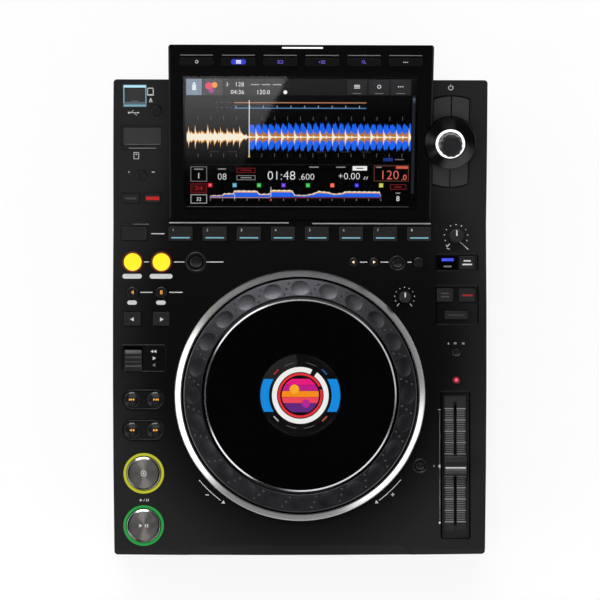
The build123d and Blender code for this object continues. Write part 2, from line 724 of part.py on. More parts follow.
# ---- Top panel -----------------------------------------------------------------------------------
def panel_solid(inset, drop, bevel_depth, bevel_drop):
    """The upper case filled in: flat deck, front bevel and climbing shoulders, drawn in all round."""
    angle = math.radians(SHOULDER_ANGLE)
    start = SHOULDER_FRONT + drop * math.tan(angle / 2)
    top = DECK_HEIGHT - drop
    slope = bevel_drop / bevel_depth
    points = [
        (FRONT - bevel_depth, SEAM_HEIGHT),
        (FRONT - bevel_depth, top - 2 * bevel_depth * slope),
        (FRONT + bevel_depth, top),
        (start, top),
        (REAR, top + (REAR - start) * math.tan(angle)),
        (REAR, SEAM_HEIGHT),
    ]
    return column(body_outline(inset), SEAM_HEIGHT, BODY_HEIGHT) & side_profile(points, 2 * BODY_WIDTH)


def front_scoop():
    """The deeper bevel along the middle of the front edge, with slanted run-outs."""
    outer = FRONT_SCOOP_HALF_WIDTH
    inner = outer - FRONT_SCOOP_RUNOUT
    start = FRONT - FRONT_SCOOP_DEPTH
    shallow = FRONT + FRONT_BEVEL_DEPTH
    deep = FRONT + FRONT_SCOOP_DEPTH
    plan = make_face(Polyline(
        (-outer, start), (-outer, shallow), (-inner, deep),
        (inner, deep), (outer, shallow), (outer, start), close=True,
    ))
    wedge = side_profile([
        (start, DECK_HEIGHT - 2 * FRONT_SCOOP_DROP),
        (deep, DECK_HEIGHT),
        (deep, BODY_HEIGHT),
        (start, BODY_HEIGHT),
    ], BODY_WIDTH)
    return column(plan, SEAM_HEIGHT, BODY_HEIGHT) & wedge


def housing_well(margin, floor):
    """The space between the shoulders that the display housing stands in."""
    side = HOUSING_SIDE + HOUSING_GAP + margin
    return block(-side, side, SHOULDER_FRONT - margin, 2 * REAR, floor, 2 * BODY_HEIGHT)


def browse_outline(margin):
    """Plan of the four browse keys together, with arched ends, in the shoulder's frame."""
    half = BROWSE_KEY_WIDTH + BROWSE_KEY_SPLIT / 2 + margin
    top = BROWSE_TOP_UP + margin
    bottom = BROWSE_BOTTOM_UP - margin
    return make_face([
        Line((half, bottom + BROWSE_ARCH), (half, top - BROWSE_ARCH)),
        ThreePointArc((half, top - BROWSE_ARCH), (0, top), (-half, top - BROWSE_ARCH)),
        Line((-half, top - BROWSE_ARCH), (-half, bottom + BROWSE_ARCH)),
        ThreePointArc((-half, bottom + BROWSE_ARCH), (0, bottom), (half, bottom + BROWSE_ARCH)),
    ])


def browse_solid(margin, z_low, z_high):
    """The browse keys' outline as a solid, cut back round the selector's turret."""
    radius = TURRET_RADIUS + BROWSE_TURRET_GAP - margin
    island = post(radius, z_low - OVERCUT, z_high + OVERCUT, -BROWSE_SHIFT, SELECTOR_UP)
    return column(browse_outline(margin), z_low, z_high) - island


def deck_recesses():
    """The shallow pockets that groups of deck keys sit in."""
    sunk = -RECESS_DEPTH
    yield RIGHT_X, JOG_MODE_ROW, slab(JOG_MODE_RECESS_WIDTH, JOG_MODE_RECESS_LENGTH, sunk, OVERCUT)
    yield RIGHT_X, SYNC_ROW, slab(SYNC_RECESS_WIDTH, SYNC_RECESS_LENGTH, sunk, OVERCUT)
    yield FADER_X, FADER_ROW, slab(FADER_RECESS_WIDTH, FADER_RECESS_LENGTH, sunk, OVERCUT)
    lever_recess = slab(LEVER_RECESS_WIDTH, LEVER_RECESS_LENGTH, sunk, OVERCUT)
    yield LEFT + LEVER_RECESS_INSET, LEVER_RECESS_ROW, lever_recess
    middle = TRACK_X + TRACK_PITCH / 2
    for row in (TRACK_ROW, SEARCH_ROW):
        yield middle, row, stadium(TRACK_POCKET_LENGTH, TRACK_POCKET_WIDTH, sunk, OVERCUT)


def deck_openings():
    """Every opening cut through the flat deck."""
    for x, row, radius in ROUND_BUTTONS.values():
        yield x, row, round_hole(radius)
    for x in BEAT_LOOP_X:
        yield x, BEAT_LOOP_ROW, round_hole(BEAT_LOOP_RADIUS)
    for x in CUE_CALL_XS:
        yield x, LOOP_ROW, round_hole(CUE_CALL_RADIUS)
    for x, row, width, length in SQUARE_KEYS.values():
        yield x, row, square_hole(width, length)
    for x in PAD_XS:
        yield x, PAD_ROW, square_hole(PAD_WIDTH, PAD_LENGTH)
    for row in TRANSPORT_BUTTONS.values():
        yield TRANSPORT_X, row, post(LIGHT_RING_OUTER + LIGHT_RING_FIT, -2 * PANEL_WALL, OVERCUT)
    for x, row, _ in KNOBS.values():
        yield x, row, post(KNOB_SHAFT_RADIUS + KNOB_FIT, -2 * PANEL_WALL, OVERCUT)
    slot = 2 * FADER_TRAVEL + FADER_STEM_LENGTH + 2 * FADER_END_GAP
    yield FADER_X, FADER_ROW, slab(FADER_SLOT_WIDTH, slot, -2 * PANEL_WALL, OVERCUT)
    lever = slab(LEVER_WIDTH + 2 * LEVER_GAP, lever_opening_length(), -2 * PANEL_WALL, OVERCUT)
    yield LEVER_X, LEVER_ROW + lever_opening_shift(), lever
    jog = post(JOG_RING_INNER + JOG_RING_FIT, -2 * PANEL_WALL, OVERCUT)
    yield 0.0, JOG_FROM_FRONT, jog


def lever_reach(angle):
    """How far the lever's upper corner stands from its pivot, tilted by an angle."""
    half = math.degrees(math.asin(LEVER_LENGTH / 2 / LEVER_RADIUS))
    return LEVER_RADIUS * math.sin(math.radians(half + angle))


def lever_opening_length():
    """Length of the opening that the lever swings in."""
    return lever_reach(0) + lever_reach(LEVER_ANGLE) + 2 * LEVER_GAP


def lever_opening_shift():
    """How far that opening's middle is from the lever's pivot."""
    return (lever_reach(LEVER_ANGLE) - lever_reach(0)) / 2


def lever_cheeks():
    """The two cheeks under the deck that carry the lever's pivot, in the deck's frame."""
    inner = LEVER_WIDTH / 2 + LEVER_CHEEK_GAP
    low = -LEVER_PIVOT_DEPTH - LEVER_CHEEK_WIDTH / 2
    cheek = block(
        inner, inner + LEVER_CHEEK_THICKNESS,
        -LEVER_CHEEK_WIDTH / 2, LEVER_CHEEK_WIDTH / 2, low, -PANEL_WALL,
    )
    cheeks = cheek + mirror(cheek, Plane.YZ)
    bore = Rot(0, 90, 0) * Cylinder(LEVER_PIVOT_RADIUS + LEVER_PIVOT_FIT, 2 * LEVER_LENGTH)
    return cheeks - Pos(0, 0, -LEVER_PIVOT_DEPTH) * bore


def media_well(width, length, depth):
    """The closed outside of the pocket behind a media door, in the shoulder's frame."""
    return slab(width + 2 * WELL_WALL, length + 2 * WELL_WALL, -depth - WELL_WALL, -PANEL_WALL)


def shoulder_cuts():
    """Every pocket and opening in the two shoulders."""
    for x, up in SHOULDER_BUTTONS.values():
        yield place(SHOULDER, x, up, round_hole(SMALL_BUTTON_RADIUS))
    for x, up, width, length in SHOULDER_KEYS.values():
        yield place(SHOULDER, x, up, square_hole(width, length))
    yield place(SHOULDER, USB_X, USB_UP, slab(USB_FRAME_WIDTH, USB_FRAME_LENGTH, -PANEL_WALL, OVERCUT))
    yield at_usb_door(door_space(USB_DOOR_WIDTH, USB_DOOR_LENGTH, USB_WELL_DEPTH))
    yield at_usb_door(slab(
        USB_A_WIDTH + 2 * SOCKET_GAP, USB_A_HEIGHT + 2 * SOCKET_GAP, -2 * USB_WELL_DEPTH, -PANEL_WALL))
    recess = slab(SD_RECESS_WIDTH, SD_RECESS_LENGTH, -RECESS_DEPTH, OVERCUT)
    yield place(SHOULDER, SD_X, SD_RECESS_UP, recess)
    yield at_card_door(door_space(SD_DOOR_WIDTH, SD_DOOR_LENGTH, SD_WELL_DEPTH))
    yield at_card_door(slab(
        SD_SOCKET_WIDTH + 2 * SOCKET_GAP, SD_SOCKET_HEIGHT + 2 * SOCKET_GAP, -2 * SD_WELL_DEPTH, -PANEL_WALL))
    yield at_card_door(door_pin_bore(SD_DOOR_WIDTH, SD_DOOR_LENGTH, RECESS_DEPTH))
    yield at_browse(column(browse_outline(BROWSE_POCKET_MARGIN), -BROWSE_POCKET_DEPTH, OVERCUT))
    yield at_browse(browse_solid(KEY_FLANGE + KEY_CLEARANCE, -2 * PANEL_WALL, -PANEL_WALL))
    opening = browse_solid(KEY_CLEARANCE, -2 * PANEL_WALL, OVERCUT)
    yield at_browse(opening)
    yield place(SHOULDER, BROWSE_X - BROWSE_WALL_RELIEF, 0.0, opening & wall_side())
    yield at_selector(post(TURRET_RADIUS + HOUSING_GAP, -BROWSE_POCKET_DEPTH, OVERCUT))
    yield at_selector(post(TURRET_BORE, -2 * PANEL_WALL, OVERCUT))


def wall_side():
    """The half of the browse keys' space that lies next to the display housing."""
    return block(-2 * BROWSE_KEY_WIDTH, 0.0, 0.0, SHOULDER_LENGTH, -2 * PANEL_WALL, OVERCUT)


def top_panel():
    """The moulded upper case, with every pocket, opening, boss and bracket."""
    filled = panel_solid(0.0, 0.0, FRONT_BEVEL_DEPTH, FRONT_BEVEL_DROP)
    filled -= [front_scoop(), housing_well(0.0, DECK_HEIGHT)]
    cavity = panel_solid(SKIRT_WALL, PANEL_WALL, INNER_BEVEL_DEPTH, FRONT_SCOOP_DROP)
    cavity -= housing_well(SKIRT_WALL, DECK_UNDER)
    posts = [square_post(BOSS_SIZE, FLOOR_TOP, BODY_HEIGHT, x, y) for x, y in BOSSES]
    posts += [place(DECK, x, y, square_post(PEG_SIZE, -BOARD_DEPTH, 0.0)) for x, y in DECK_PEGS]
    posts += [place(SHOULDER, x, up, square_post(PEG_SIZE, -BOARD_DEPTH, 0.0)) for x, up in SHOULDER_PEGS]
    room = column(body_outline(SKIRT_WALL), FLOOR_TOP, SEAM_HEIGHT) + filled
    shell = filled - cavity
    shell += [
        Part() + posts & room,
        place(DECK, LEVER_X, LEVER_Y, lever_cheeks()),
        place(SHOULDER, USB_X, USB_UP, media_well(USB_FRAME_WIDTH, USB_FRAME_LENGTH, USB_WELL_DEPTH)),
        at_card_door(media_well(SD_DOOR_WIDTH, SD_DOOR_LENGTH, SD_WELL_DEPTH)),
        at_power(power_bracket()),
    ]
    cuts = [place(DECK, x, FRONT + row, cut) for x, row, cut in deck_recesses()]
    cuts += [place(DECK, x, FRONT + row, cut) for x, row, cut in deck_openings()]
    cuts += shoulder_cuts()
    cuts.append(block(
        -REAR_PANEL_HALF_WIDTH, REAR_PANEL_HALF_WIDTH,
        BODY_REAR - 2 * SKIRT_WALL, REAR, 0.0, REAR_PANEL_TOP,
    ))
    shelf = HOUSING_SIDE - SHELF_RIM
    cuts.append(block(
        -shelf, shelf, HOUSING_FRONT + SHELF_RIM, BODY_REAR - SHELF_RIM, 0.0, BODY_HEIGHT,
    ))
    cuts.append(at_power(round_hole(POWER_RADIUS)))
    return shell - cuts


def power_bracket():
    """Two pegs on the rear wall that carry the power switch's board."""
    offset = POWER_BOARD / 2
    peg = square_post(STEM_SIZE, -BOARD_DEPTH, 0.0, offset)
    return peg + mirror(peg, Plane.YZ)


# ---- Media doors and sockets ---------------------------------------------------------------------
def door_space(width, length, depth):
    """The room a media door lies in, down to the floor of the pocket behind it."""
    return slab(width + 2 * DOOR_SIDE_GAP, length + 2 * DOOR_GAP, -depth, OVERCUT)


def door_axis(length, sink):
    """Where a door's hinge line runs from its middle: up the slope, and below the surface."""
    return length / 2 - DOOR_KNUCKLE_RADIUS, -sink - DOOR_KNUCKLE_RADIUS


def door_pin_bore(width, length, sink):
    """The bore for a door's stub pins, through both sides of its opening."""
    up, z = door_axis(length, sink)
    bore = Cylinder(DOOR_PIN_RADIUS + DOOR_PIN_FIT, width + 2 * DOOR_SIDE_GAP + 2 * DOOR_PIN_LENGTH)
    return Pos(0, up, z) * Rot(0, 90, 0) * bore


def media_door(width, length, sink):
    """A flap with a knuckle and two stub pins along its upper edge, and a finger notch at its lower."""
    up, z = door_axis(length, sink)
    flap = block(-width / 2, width / 2, -length / 2, up, -sink - DOOR_THICKNESS, -sink)
    hinge = Cylinder(DOOR_KNUCKLE_RADIUS, width) + Cylinder(DOOR_PIN_RADIUS, width + 2 * DOOR_PIN_LENGTH)
    low = -sink - DOOR_THICKNESS / 2
    notch = Pos(0, -length / 2, 0) * slab(DOOR_NOTCH_WIDTH, DOOR_NOTCH_LENGTH, low, OVERCUT)
    return flap + Pos(0, up, z) * Rot(0, 90, 0) * hinge - notch


def usb_cover():
    """The flap over the memory-stick socket."""
    return at_usb_door(media_door(USB_DOOR_WIDTH, USB_DOOR_LENGTH, 0.0))


def sd_cover():
    """The flap over the memory-card slot."""
    return at_card_door(media_door(SD_DOOR_WIDTH, SD_DOOR_LENGTH, RECESS_DEPTH))


def rear_box(x, width, height, depth, out=0.0):
    """A box in the rear panel, as deep as given behind its outer face."""
    return block(
        x - width / 2, x + width / 2, BODY_REAR - depth, BODY_REAR + out,
        JACK_HEIGHT - height / 2, JACK_HEIGHT + height / 2,
    )


def data_sockets():
    """The memory-stick and card sockets under their doors, and the two data sockets at the rear."""
    foot = -USB_WELL_DEPTH - USB_A_DEPTH
    inner_width = USB_A_WIDTH - 2 * USB_A_WALL
    inner_height = USB_A_HEIGHT - 2 * USB_A_WALL
    stick = slab(USB_A_WIDTH, USB_A_HEIGHT, foot, -USB_WELL_DEPTH)
    stick -= slab(inner_width, inner_height, foot + SOCKET_FLOOR, -USB_WELL_DEPTH)
    stick += block(
        -inner_width / 2, inner_width / 2, inner_height / 2 - USB_A_TONGUE, inner_height / 2,
        foot, -USB_WELL_DEPTH - SOCKET_FLOOR,
    )
    foot = -SD_WELL_DEPTH - SD_SOCKET_DEPTH
    card = slab(SD_SOCKET_WIDTH, SD_SOCKET_HEIGHT, foot, -SD_WELL_DEPTH)
    card -= slab(SD_SLOT_WIDTH, SD_SLOT_HEIGHT, foot + SOCKET_FLOOR, -SD_WELL_DEPTH)
    lan = rear_box(LAN_X, LAN_WIDTH, LAN_HEIGHT, LAN_DEPTH)
    lan -= rear_box(LAN_X, LAN_PORT_WIDTH, LAN_PORT_HEIGHT, LAN_PORT_DEPTH)
    data = rear_box(USB_B_X, USB_B_WIDTH, USB_B_HEIGHT, USB_B_DEPTH)
    data -= rear_box(USB_B_X, USB_B_MOUTH_WIDTH, USB_B_MOUTH_HEIGHT, USB_B_MOUTH_DEPTH)
    tongue = rear_box(USB_B_X, USB_B_TONGUE_WIDTH, USB_B_TONGUE_HEIGHT, USB_B_MOUTH_DEPTH)
    data += Pos(0, -USB_B_TONGUE_SINK, 0) * tongue
    return [
        at_usb_door(stick),
        at_card_door(card),
        lan,
        data,
    ]


# ---- Display housing, glass and screen -----------------------------------------------------------
def housing_profile(wall, face):
    """Side view of the housing, drawn in by its walls: depth and height."""
    slope = SCREEN_RISE / SCREEN_RUN
    drop = face * math.hypot(1.0, slope)
    front = HOUSING_FRONT + wall
    rear_low = HOUSING_UNDERSIDE + wall
    root = DECK_HEIGHT + HOUSING_ROOT_RISE
    body_rear = BODY_REAR - wall
    return [
        (front, DECK_HEIGHT),
        (front, HOUSING_FRONT_TOP + wall * slope - drop),
        (HOUSING_CREASE, HOUSING_CREASE_TOP - drop),
        (REAR - wall, BODY_HEIGHT - drop - wall * STRIP_RISE / KEY_STRIP_DEPTH),
        (REAR - wall, rear_low),
        (body_rear, root + wall),
        (body_rear, DECK_HEIGHT),
    ]


def turret_column(margin):
    """An upright column round the selector turret, in the shoulder's frame."""
    column_solid = post(TURRET_RADIUS + margin, -4 * PANEL_WALL, 4 * TURRET_RADIUS)
    return at_selector(column_solid)


def display_housing():
    """The raised wedge that holds the screen: a shell with a glass seat and menu key openings."""
    outer = side_profile(housing_profile(0.0, 0.0), HOUSING_WIDTH)
    edges = outer.edges().filter_by(lambda e: abs(e.center().X) > HOUSING_SIDE - HOUSING_GAP)
    edges = edges.filter_by(lambda e: e.center().Z > DECK_HEIGHT + HOUSING_GAP)
    outer = chamfer(edges, HOUSING_EDGE_CHAMFER)
    inner = side_profile(housing_profile(HOUSING_WALL, HOUSING_FACE_WALL), HOUSING_WIDTH - 2 * HOUSING_WALL)
    inner -= turret_column(TURRET_GAP + HOUSING_WALL)
    shell = outer - inner - turret_column(TURRET_GAP)
    seat = slab(GLASS_WIDTH + 2 * GLASS_GAP, GLASS_LENGTH + 2 * GLASS_GAP, -GLASS_THICKNESS, OVERCUT)
    low = -2 * HOUSING_FACE_WALL
    window = slab(SCREEN_WIDTH + 2 * WINDOW_MARGIN, SCREEN_LENGTH + 2 * WINDOW_MARGIN, low, OVERCUT)
    opening = slab(MENU_KEY_WIDTH + 2 * KEY_CLEARANCE, MENU_KEY_LENGTH + 2 * KEY_CLEARANCE, low, OVERCUT)
    cuts = [place(SCREEN, GLASS_SHIFT, GLASS_UP, seat + window)]
    cuts += [place(STRIP, x, MENU_KEY_UP_STRIP, opening) for x in MENU_XS]
    return shell - cuts


def display_glass():
    glass = slab(GLASS_WIDTH, GLASS_LENGTH, -GLASS_THICKNESS, 0.0)
    return place(SCREEN, GLASS_SHIFT, GLASS_UP, glass)


def lcd_module():
    """The screen behind the glass: a framed panel whose raised face fills the window."""
    back = slab(
        SCREEN_WIDTH + 2 * LCD_MARGIN, SCREEN_LENGTH + 2 * LCD_MARGIN,
        -HOUSING_FACE_WALL - LCD_THICKNESS, -HOUSING_FACE_WALL)
    face = slab(SCREEN_WIDTH, SCREEN_LENGTH, -HOUSING_FACE_WALL, -GLASS_THICKNESS - GLASS_GAP)
    return place(SCREEN, GLASS_SHIFT, GLASS_UP, back + face)


def menu_keys():
    """The six keys along the top of the screen."""
    flange_top = -HOUSING_FACE_WALL - KEY_GAP
    keys = []
    for x in MENU_XS:
        cap = slab(MENU_KEY_WIDTH, MENU_KEY_LENGTH, flange_top, MENU_KEY_RISE)
        cap = chamfer(cap.faces().sort_by(Axis.Z)[-1].edges(), KEY_CHAMFER)
        key = cap + key_below(MENU_KEY_WIDTH, MENU_KEY_LENGTH, flange_top)
        keys.append(place(STRIP, x, MENU_KEY_UP_STRIP, key))
    return keys


# ---- Jog dial ------------------------------------------------------------------------------------
def jog_trim_ring():
    """The bright conical ring round the dial, seated on the deck."""
    top = DECK_HEIGHT + JOG_RING_HEIGHT
    ring = turned([
        (JOG_RING_INNER, DECK_HEIGHT),
        (JOG_RING_OUTER, DECK_HEIGHT),
        (JOG_RING_OUTER, DECK_HEIGHT + JOG_RING_EDGE),
        (JOG_RING_INNER, top),
    ])
    return at_jog(ring)


def dimple_cutter():
    """A shallow hollow where two crossed cylinders meet, one along the band and one across it."""
    along = (DIMPLE_WIDTH ** 2 / 4 + DIMPLE_DEPTH ** 2) / (2 * DIMPLE_DEPTH)
    across = (DIMPLE_LENGTH ** 2 / 4 + DIMPLE_DEPTH ** 2) / (2 * DIMPLE_DEPTH)
    trough = Pos(0, 0, along - DIMPLE_DEPTH) * Rot(0, 90, 0) * Cylinder(along, 2 * DIMPLE_LENGTH)
    scoop = Pos(0, 0, across - DIMPLE_DEPTH) * Rot(90, 0, 0) * Cylinder(across, 2 * DIMPLE_LENGTH)
    return trough & scoop


def jog_dial():
    """The turning dial: dimpled finger band, rim, web and the hub that runs on the bush."""
    top = DECK_HEIGHT + DIAL_TOP
    fall = DIAL_FALL / (DIAL_RADIUS - DIAL_BAND_INNER)
    edge = top - DIAL_FALL
    web_top = DECK_HEIGHT + DIAL_WEB_TOP
    bore = BUSH_RADIUS + BUSH_RUNNING_FIT
    hub = bore + HUB_WALL
    hub_low = BUSH_FLANGE_TOP + HUB_THRUST_GAP
    dial = turned([
        (bore, hub_low),
        (hub, hub_low),
        (hub, DIAL_WEB_UNDER),
        (DIAL_RADIUS, DIAL_WEB_UNDER),
        (DIAL_RADIUS, edge - DIAL_EDGE),
        (DIAL_RADIUS - DIAL_EDGE, edge + fall * DIAL_EDGE),
        (DIAL_BAND_INNER, top),
        (DIAL_BAND_INNER, web_top),
        (bore, web_top),
    ])
    lean = math.degrees(math.atan(fall))
    surface = top - fall * (DIMPLE_RADIUS_FROM_CENTRE - DIAL_BAND_INNER)
    cutter = Pos(0, DIMPLE_RADIUS_FROM_CENTRE, surface) * Rot(-lean, 0, 0) * dimple_cutter()
    hole = square_post(PLATE_POST_SIZE + 2 * PLATE_POST_GAP, 0.0, web_top, PLATE_POST_CIRCLE)
    cuts = [Rot(0, 0, index * 360.0 / DIMPLE_COUNT) * cutter for index in range(DIMPLE_COUNT)]
    cuts += [Rot(0, 0, index * 360.0 / PLATE_POST_COUNT) * hole for index in range(PLATE_POST_COUNT)]
    return at_jog(dial - cuts)


def jog_plate():
    """The touch plate: a bevelled disc, and three posts that guide it through the dial's web."""
    top = DECK_HEIGHT + PLATE_TOP
    plate = turned([
        (0.0, PLATE_UNDER),
        (PLATE_RADIUS, PLATE_UNDER),
        (PLATE_RADIUS, top - PLATE_BEVEL_DROP),
        (PLATE_RADIUS - PLATE_BEVEL_WIDTH, top),
        (0.0, top),
    ])
    for index in range(PLATE_POST_COUNT):
        low = DIAL_WEB_UNDER - PLATE_POST_REACH
        guide = square_post(PLATE_POST_SIZE, low, PLATE_UNDER, PLATE_POST_CIRCLE)
        plate += Rot(0, 0, index * 360.0 / PLATE_POST_COUNT) * guide
    return at_jog(plate)


def jog_base():
    """The four-armed spider under the deck, with the hollow spindle that the dial turns about."""
    low = DECK_HEIGHT - SPIDER_DEPTH
    base = post(SPIDER_HUB_RADIUS, low, SPIDER_TOP)
    for index in range(SPIDER_ARM_COUNT):
        arm = block(0.0, SPIDER_FOOT_CIRCLE, -SPIDER_ARM_WIDTH / 2, SPIDER_ARM_WIDTH / 2, low, SPIDER_TOP)
        foot = square_post(SPIDER_FOOT_SIZE, low, DECK_UNDER, SPIDER_FOOT_CIRCLE)
        base += Rot(0, 0, (index + 0.5) * 360.0 / SPIDER_ARM_COUNT) * (arm + foot)
    base += post(SPINDLE_RADIUS, low, SPINDLE_TOP)
    base -= post(SPINDLE_BORE, low, SPINDLE_TOP)
    return at_jog(base)


def jog_bush():
    """The flanged bush on the spindle, which carries the dial's hub."""
    bush = turned([
        (SPINDLE_RADIUS, SPIDER_TOP),
        (BUSH_FLANGE_RADIUS, SPIDER_TOP),
        (BUSH_FLANGE_RADIUS, BUSH_FLANGE_TOP),
        (BUSH_RADIUS, BUSH_FLANGE_TOP),
        (BUSH_RADIUS, DECK_HEIGHT + DIAL_WEB_TOP),
        (SPINDLE_RADIUS, DECK_HEIGHT + DIAL_WEB_TOP),
    ])
    return at_jog(bush)


def jog_center_display():
    """The round screen that stands still on the spindle, under the dial's clear middle."""
    return at_jog(post(CENTRE_DISPLAY_RADIUS, SPINDLE_TOP, CENTRE_DISPLAY_TOP))


# ---- Selector ------------------------------------------------------------------------------------
def selector_turret():
    """The round island of the selector, with a seat for its light ring and a spigot into the case."""
    top = TURRET_RISE
    seat = top - SELECTOR_RING_DEPTH
    ledge = SELECTOR_RING_INNER - SELECTOR_SEAT
    spigot = TURRET_BORE - TURRET_GAP
    turret = turned([
        (spigot, -PANEL_WALL),
        (spigot, -BROWSE_POCKET_DEPTH),
        (TURRET_RADIUS, -BROWSE_POCKET_DEPTH),
        (TURRET_RADIUS, top - TURRET_EDGE),
        (TURRET_RADIUS - TURRET_EDGE, top),
        (SELECTOR_RING_OUTER, top),
        (SELECTOR_RING_OUTER, seat),
        (ledge, seat),
        (ledge, -PANEL_WALL),
    ])
    return at_selector(turret)


def selector_shaft():
    """The plunger that the selector turns on and that is pressed down with it."""
    low = -BOARD_DEPTH + ENCODER_HEIGHT + PLUNGER_TRAVEL + STEM_REST
    plunger = post(PLUNGER_RADIUS, low, TURRET_RISE - SELECTOR_SINK + PLUNGER_HEAD)
    return at_selector(plunger)


def selector_knob():
    """The selector, bored from below for its plunger."""
    low = TURRET_RISE - SELECTOR_SINK
    top = low + SELECTOR_HEIGHT
    knob = turned([
        (0.0, low),
        (SELECTOR_RADIUS, low),
        (SELECTOR_RADIUS, top - SELECTOR_CROWN),
        (SELECTOR_RADIUS - SELECTOR_CROWN, top),
        (0.0, top),
    ])
    return at_selector(knob - post(PLUNGER_RADIUS + PLUNGER_FIT, low, low + PLUNGER_HEAD))


def browse_stems():
    """Where the four browse keys' stems are: across from the keys' split, and up the slope."""
    across = (BROWSE_KEY_WIDTH + BROWSE_KEY_SPLIT) / 2
    reach = TURRET_RADIUS + BROWSE_TURRET_GAP
    lower = (BROWSE_BOTTOM_UP + SELECTOR_UP - reach) / 2
    upper = (BROWSE_TOP_UP + SELECTOR_UP + reach) / 2
    return [(side * across, up) for up in (lower, upper) for side in (-1, 1)]


def browse_keys():
    """The four keys round the selector, each cut back to the turret's circle."""
    keys = []
    inner = BROWSE_KEY_SPLIT / 2
    for x, up in browse_stems():
        side = math.copysign(1.0, x)
        wide = BROWSE_KEY_WIDTH + (KEY_FLANGE if side > 0 else BROWSE_SIDE_FLANGE)
        edges = sorted((side * inner, side * (inner + wide)))
        ends = (0.0, SELECTOR_UP) if up < SELECTOR_UP else (SELECTOR_UP, SHOULDER_LENGTH)
        quarter = block(*edges, *ends, -BOARD_DEPTH, TURRET_RISE)
        cap = browse_solid(0.0, FLANGE_TOP, KEY_RISE)
        flange = browse_solid(KEY_FLANGE, FLANGE_TOP - KEY_FLANGE_THICKNESS, FLANGE_TOP)
        key = (cap & quarter) + (flange & quarter)
        key += square_post(STEM_SIZE, SWITCH_TOP + KEY_TRAVEL + STEM_REST, FLANGE_TOP, x, up)
        keys.append(at_browse(key))
    return keys


# ---- Transport buttons and light rings -----------------------------------------------------------
def transport_button(row):
    """The large round button of the cue and play pair."""
    cap = post(TRANSPORT_RADIUS, FLANGE_TOP, TRANSPORT_RISE)
    below = key_below(TRANSPORT_FLANGE, TRANSPORT_FLANGE, FLANGE_TOP, TRANSPORT_TRAVEL)
    return place(DECK, TRANSPORT_X, FRONT + row, cap + below)


def light_guides():
    """The clear rings round cue, play and selector, and the lit frame of the memory-stick door."""
    ring = post(LIGHT_RING_OUTER, -PANEL_WALL, LIGHT_RING_RISE)
    ring -= post(LIGHT_RING_INNER, -PANEL_WALL, LIGHT_RING_RISE)
    guides = [place(DECK, TRANSPORT_X, FRONT + row, ring) for row in TRANSPORT_BUTTONS.values()]
    outer = SELECTOR_RING_OUTER - SELECTOR_RING_FIT
    seat = TURRET_RISE - SELECTOR_RING_DEPTH
    top = TURRET_RISE + SELECTOR_RING_RISE
    halo = post(outer, seat, top) - post(SELECTOR_RING_INNER, seat, top)
    guides.append(at_selector(halo))
    width = USB_FRAME_WIDTH - 2 * SOCKET_GAP
    length = USB_FRAME_LENGTH - 2 * SOCKET_GAP
    frame = place(SHOULDER, USB_X, USB_UP, slab(width, length, -PANEL_WALL, LIGHT_RING_RISE))
    frame -= [
        at_usb_door(door_space(USB_DOOR_WIDTH, USB_DOOR_LENGTH, PANEL_WALL)),
        at_usb_door(door_pin_bore(USB_DOOR_WIDTH, USB_DOOR_LENGTH, 0.0)),
    ]
    guides.append(frame)
    return guides


# ---- Knobs, lever and fader ----------------------------------------------------------------------
def turning_knob(radius):
    """A small tapered knob and its shaft."""
    return turned([
        (0.0, -KNOB_SHAFT_LENGTH),
        (KNOB_SHAFT_RADIUS, -KNOB_SHAFT_LENGTH),
        (KNOB_SHAFT_RADIUS, KNOB_SKIRT_GAP),
        (radius, KNOB_SKIRT_GAP),
        (radius - KNOB_TAPER, KNOB_HEIGHT),
        (0.0, KNOB_HEIGHT),
    ])


def direction_lever():
    """The ribbed lever: a drum segment over a hub, with the pins that it swings on."""
    angle = math.degrees(math.asin(LEVER_LENGTH / 2 / LEVER_RADIUS))
    half = math.radians(angle)
    y = LEVER_RADIUS * math.sin(half)
    z = LEVER_RADIUS * math.cos(half)
    inner = LEVER_HUB_RADIUS
    outline = make_face([
        ThreePointArc((-y, z), (0, LEVER_RADIUS), (y, z)),
        Line((y, z), (inner, 0)),
        ThreePointArc((inner, 0), (0, -inner), (-inner, 0)),
        Line((-inner, 0), (-y, z)),
    ])
    lever = extrude(Plane.YZ * outline, amount=LEVER_WIDTH / 2, both=True)
    cuts = []
    for index in range(LEVER_RIB_COUNT):
        turn = math.degrees(LEVER_RIB_PITCH / LEVER_RADIUS) * (index - (LEVER_RIB_COUNT - 1) / 2)
        rib = slab(2 * LEVER_WIDTH, LEVER_RIB_WIDTH, LEVER_RADIUS - LEVER_RIB_DEPTH, 2 * LEVER_RADIUS)
        cuts.append(Rot(turn, 0, 0) * rib)
    lever -= cuts
    reach = LEVER_WIDTH + 2 * (LEVER_CHEEK_GAP + LEVER_CHEEK_THICKNESS)
    lever += Rot(0, 90, 0) * Cylinder(LEVER_PIVOT_RADIUS, reach)
    return place(DECK, LEVER_X, FRONT + LEVER_ROW, Pos(0, 0, -LEVER_PIVOT_DEPTH) * lever)


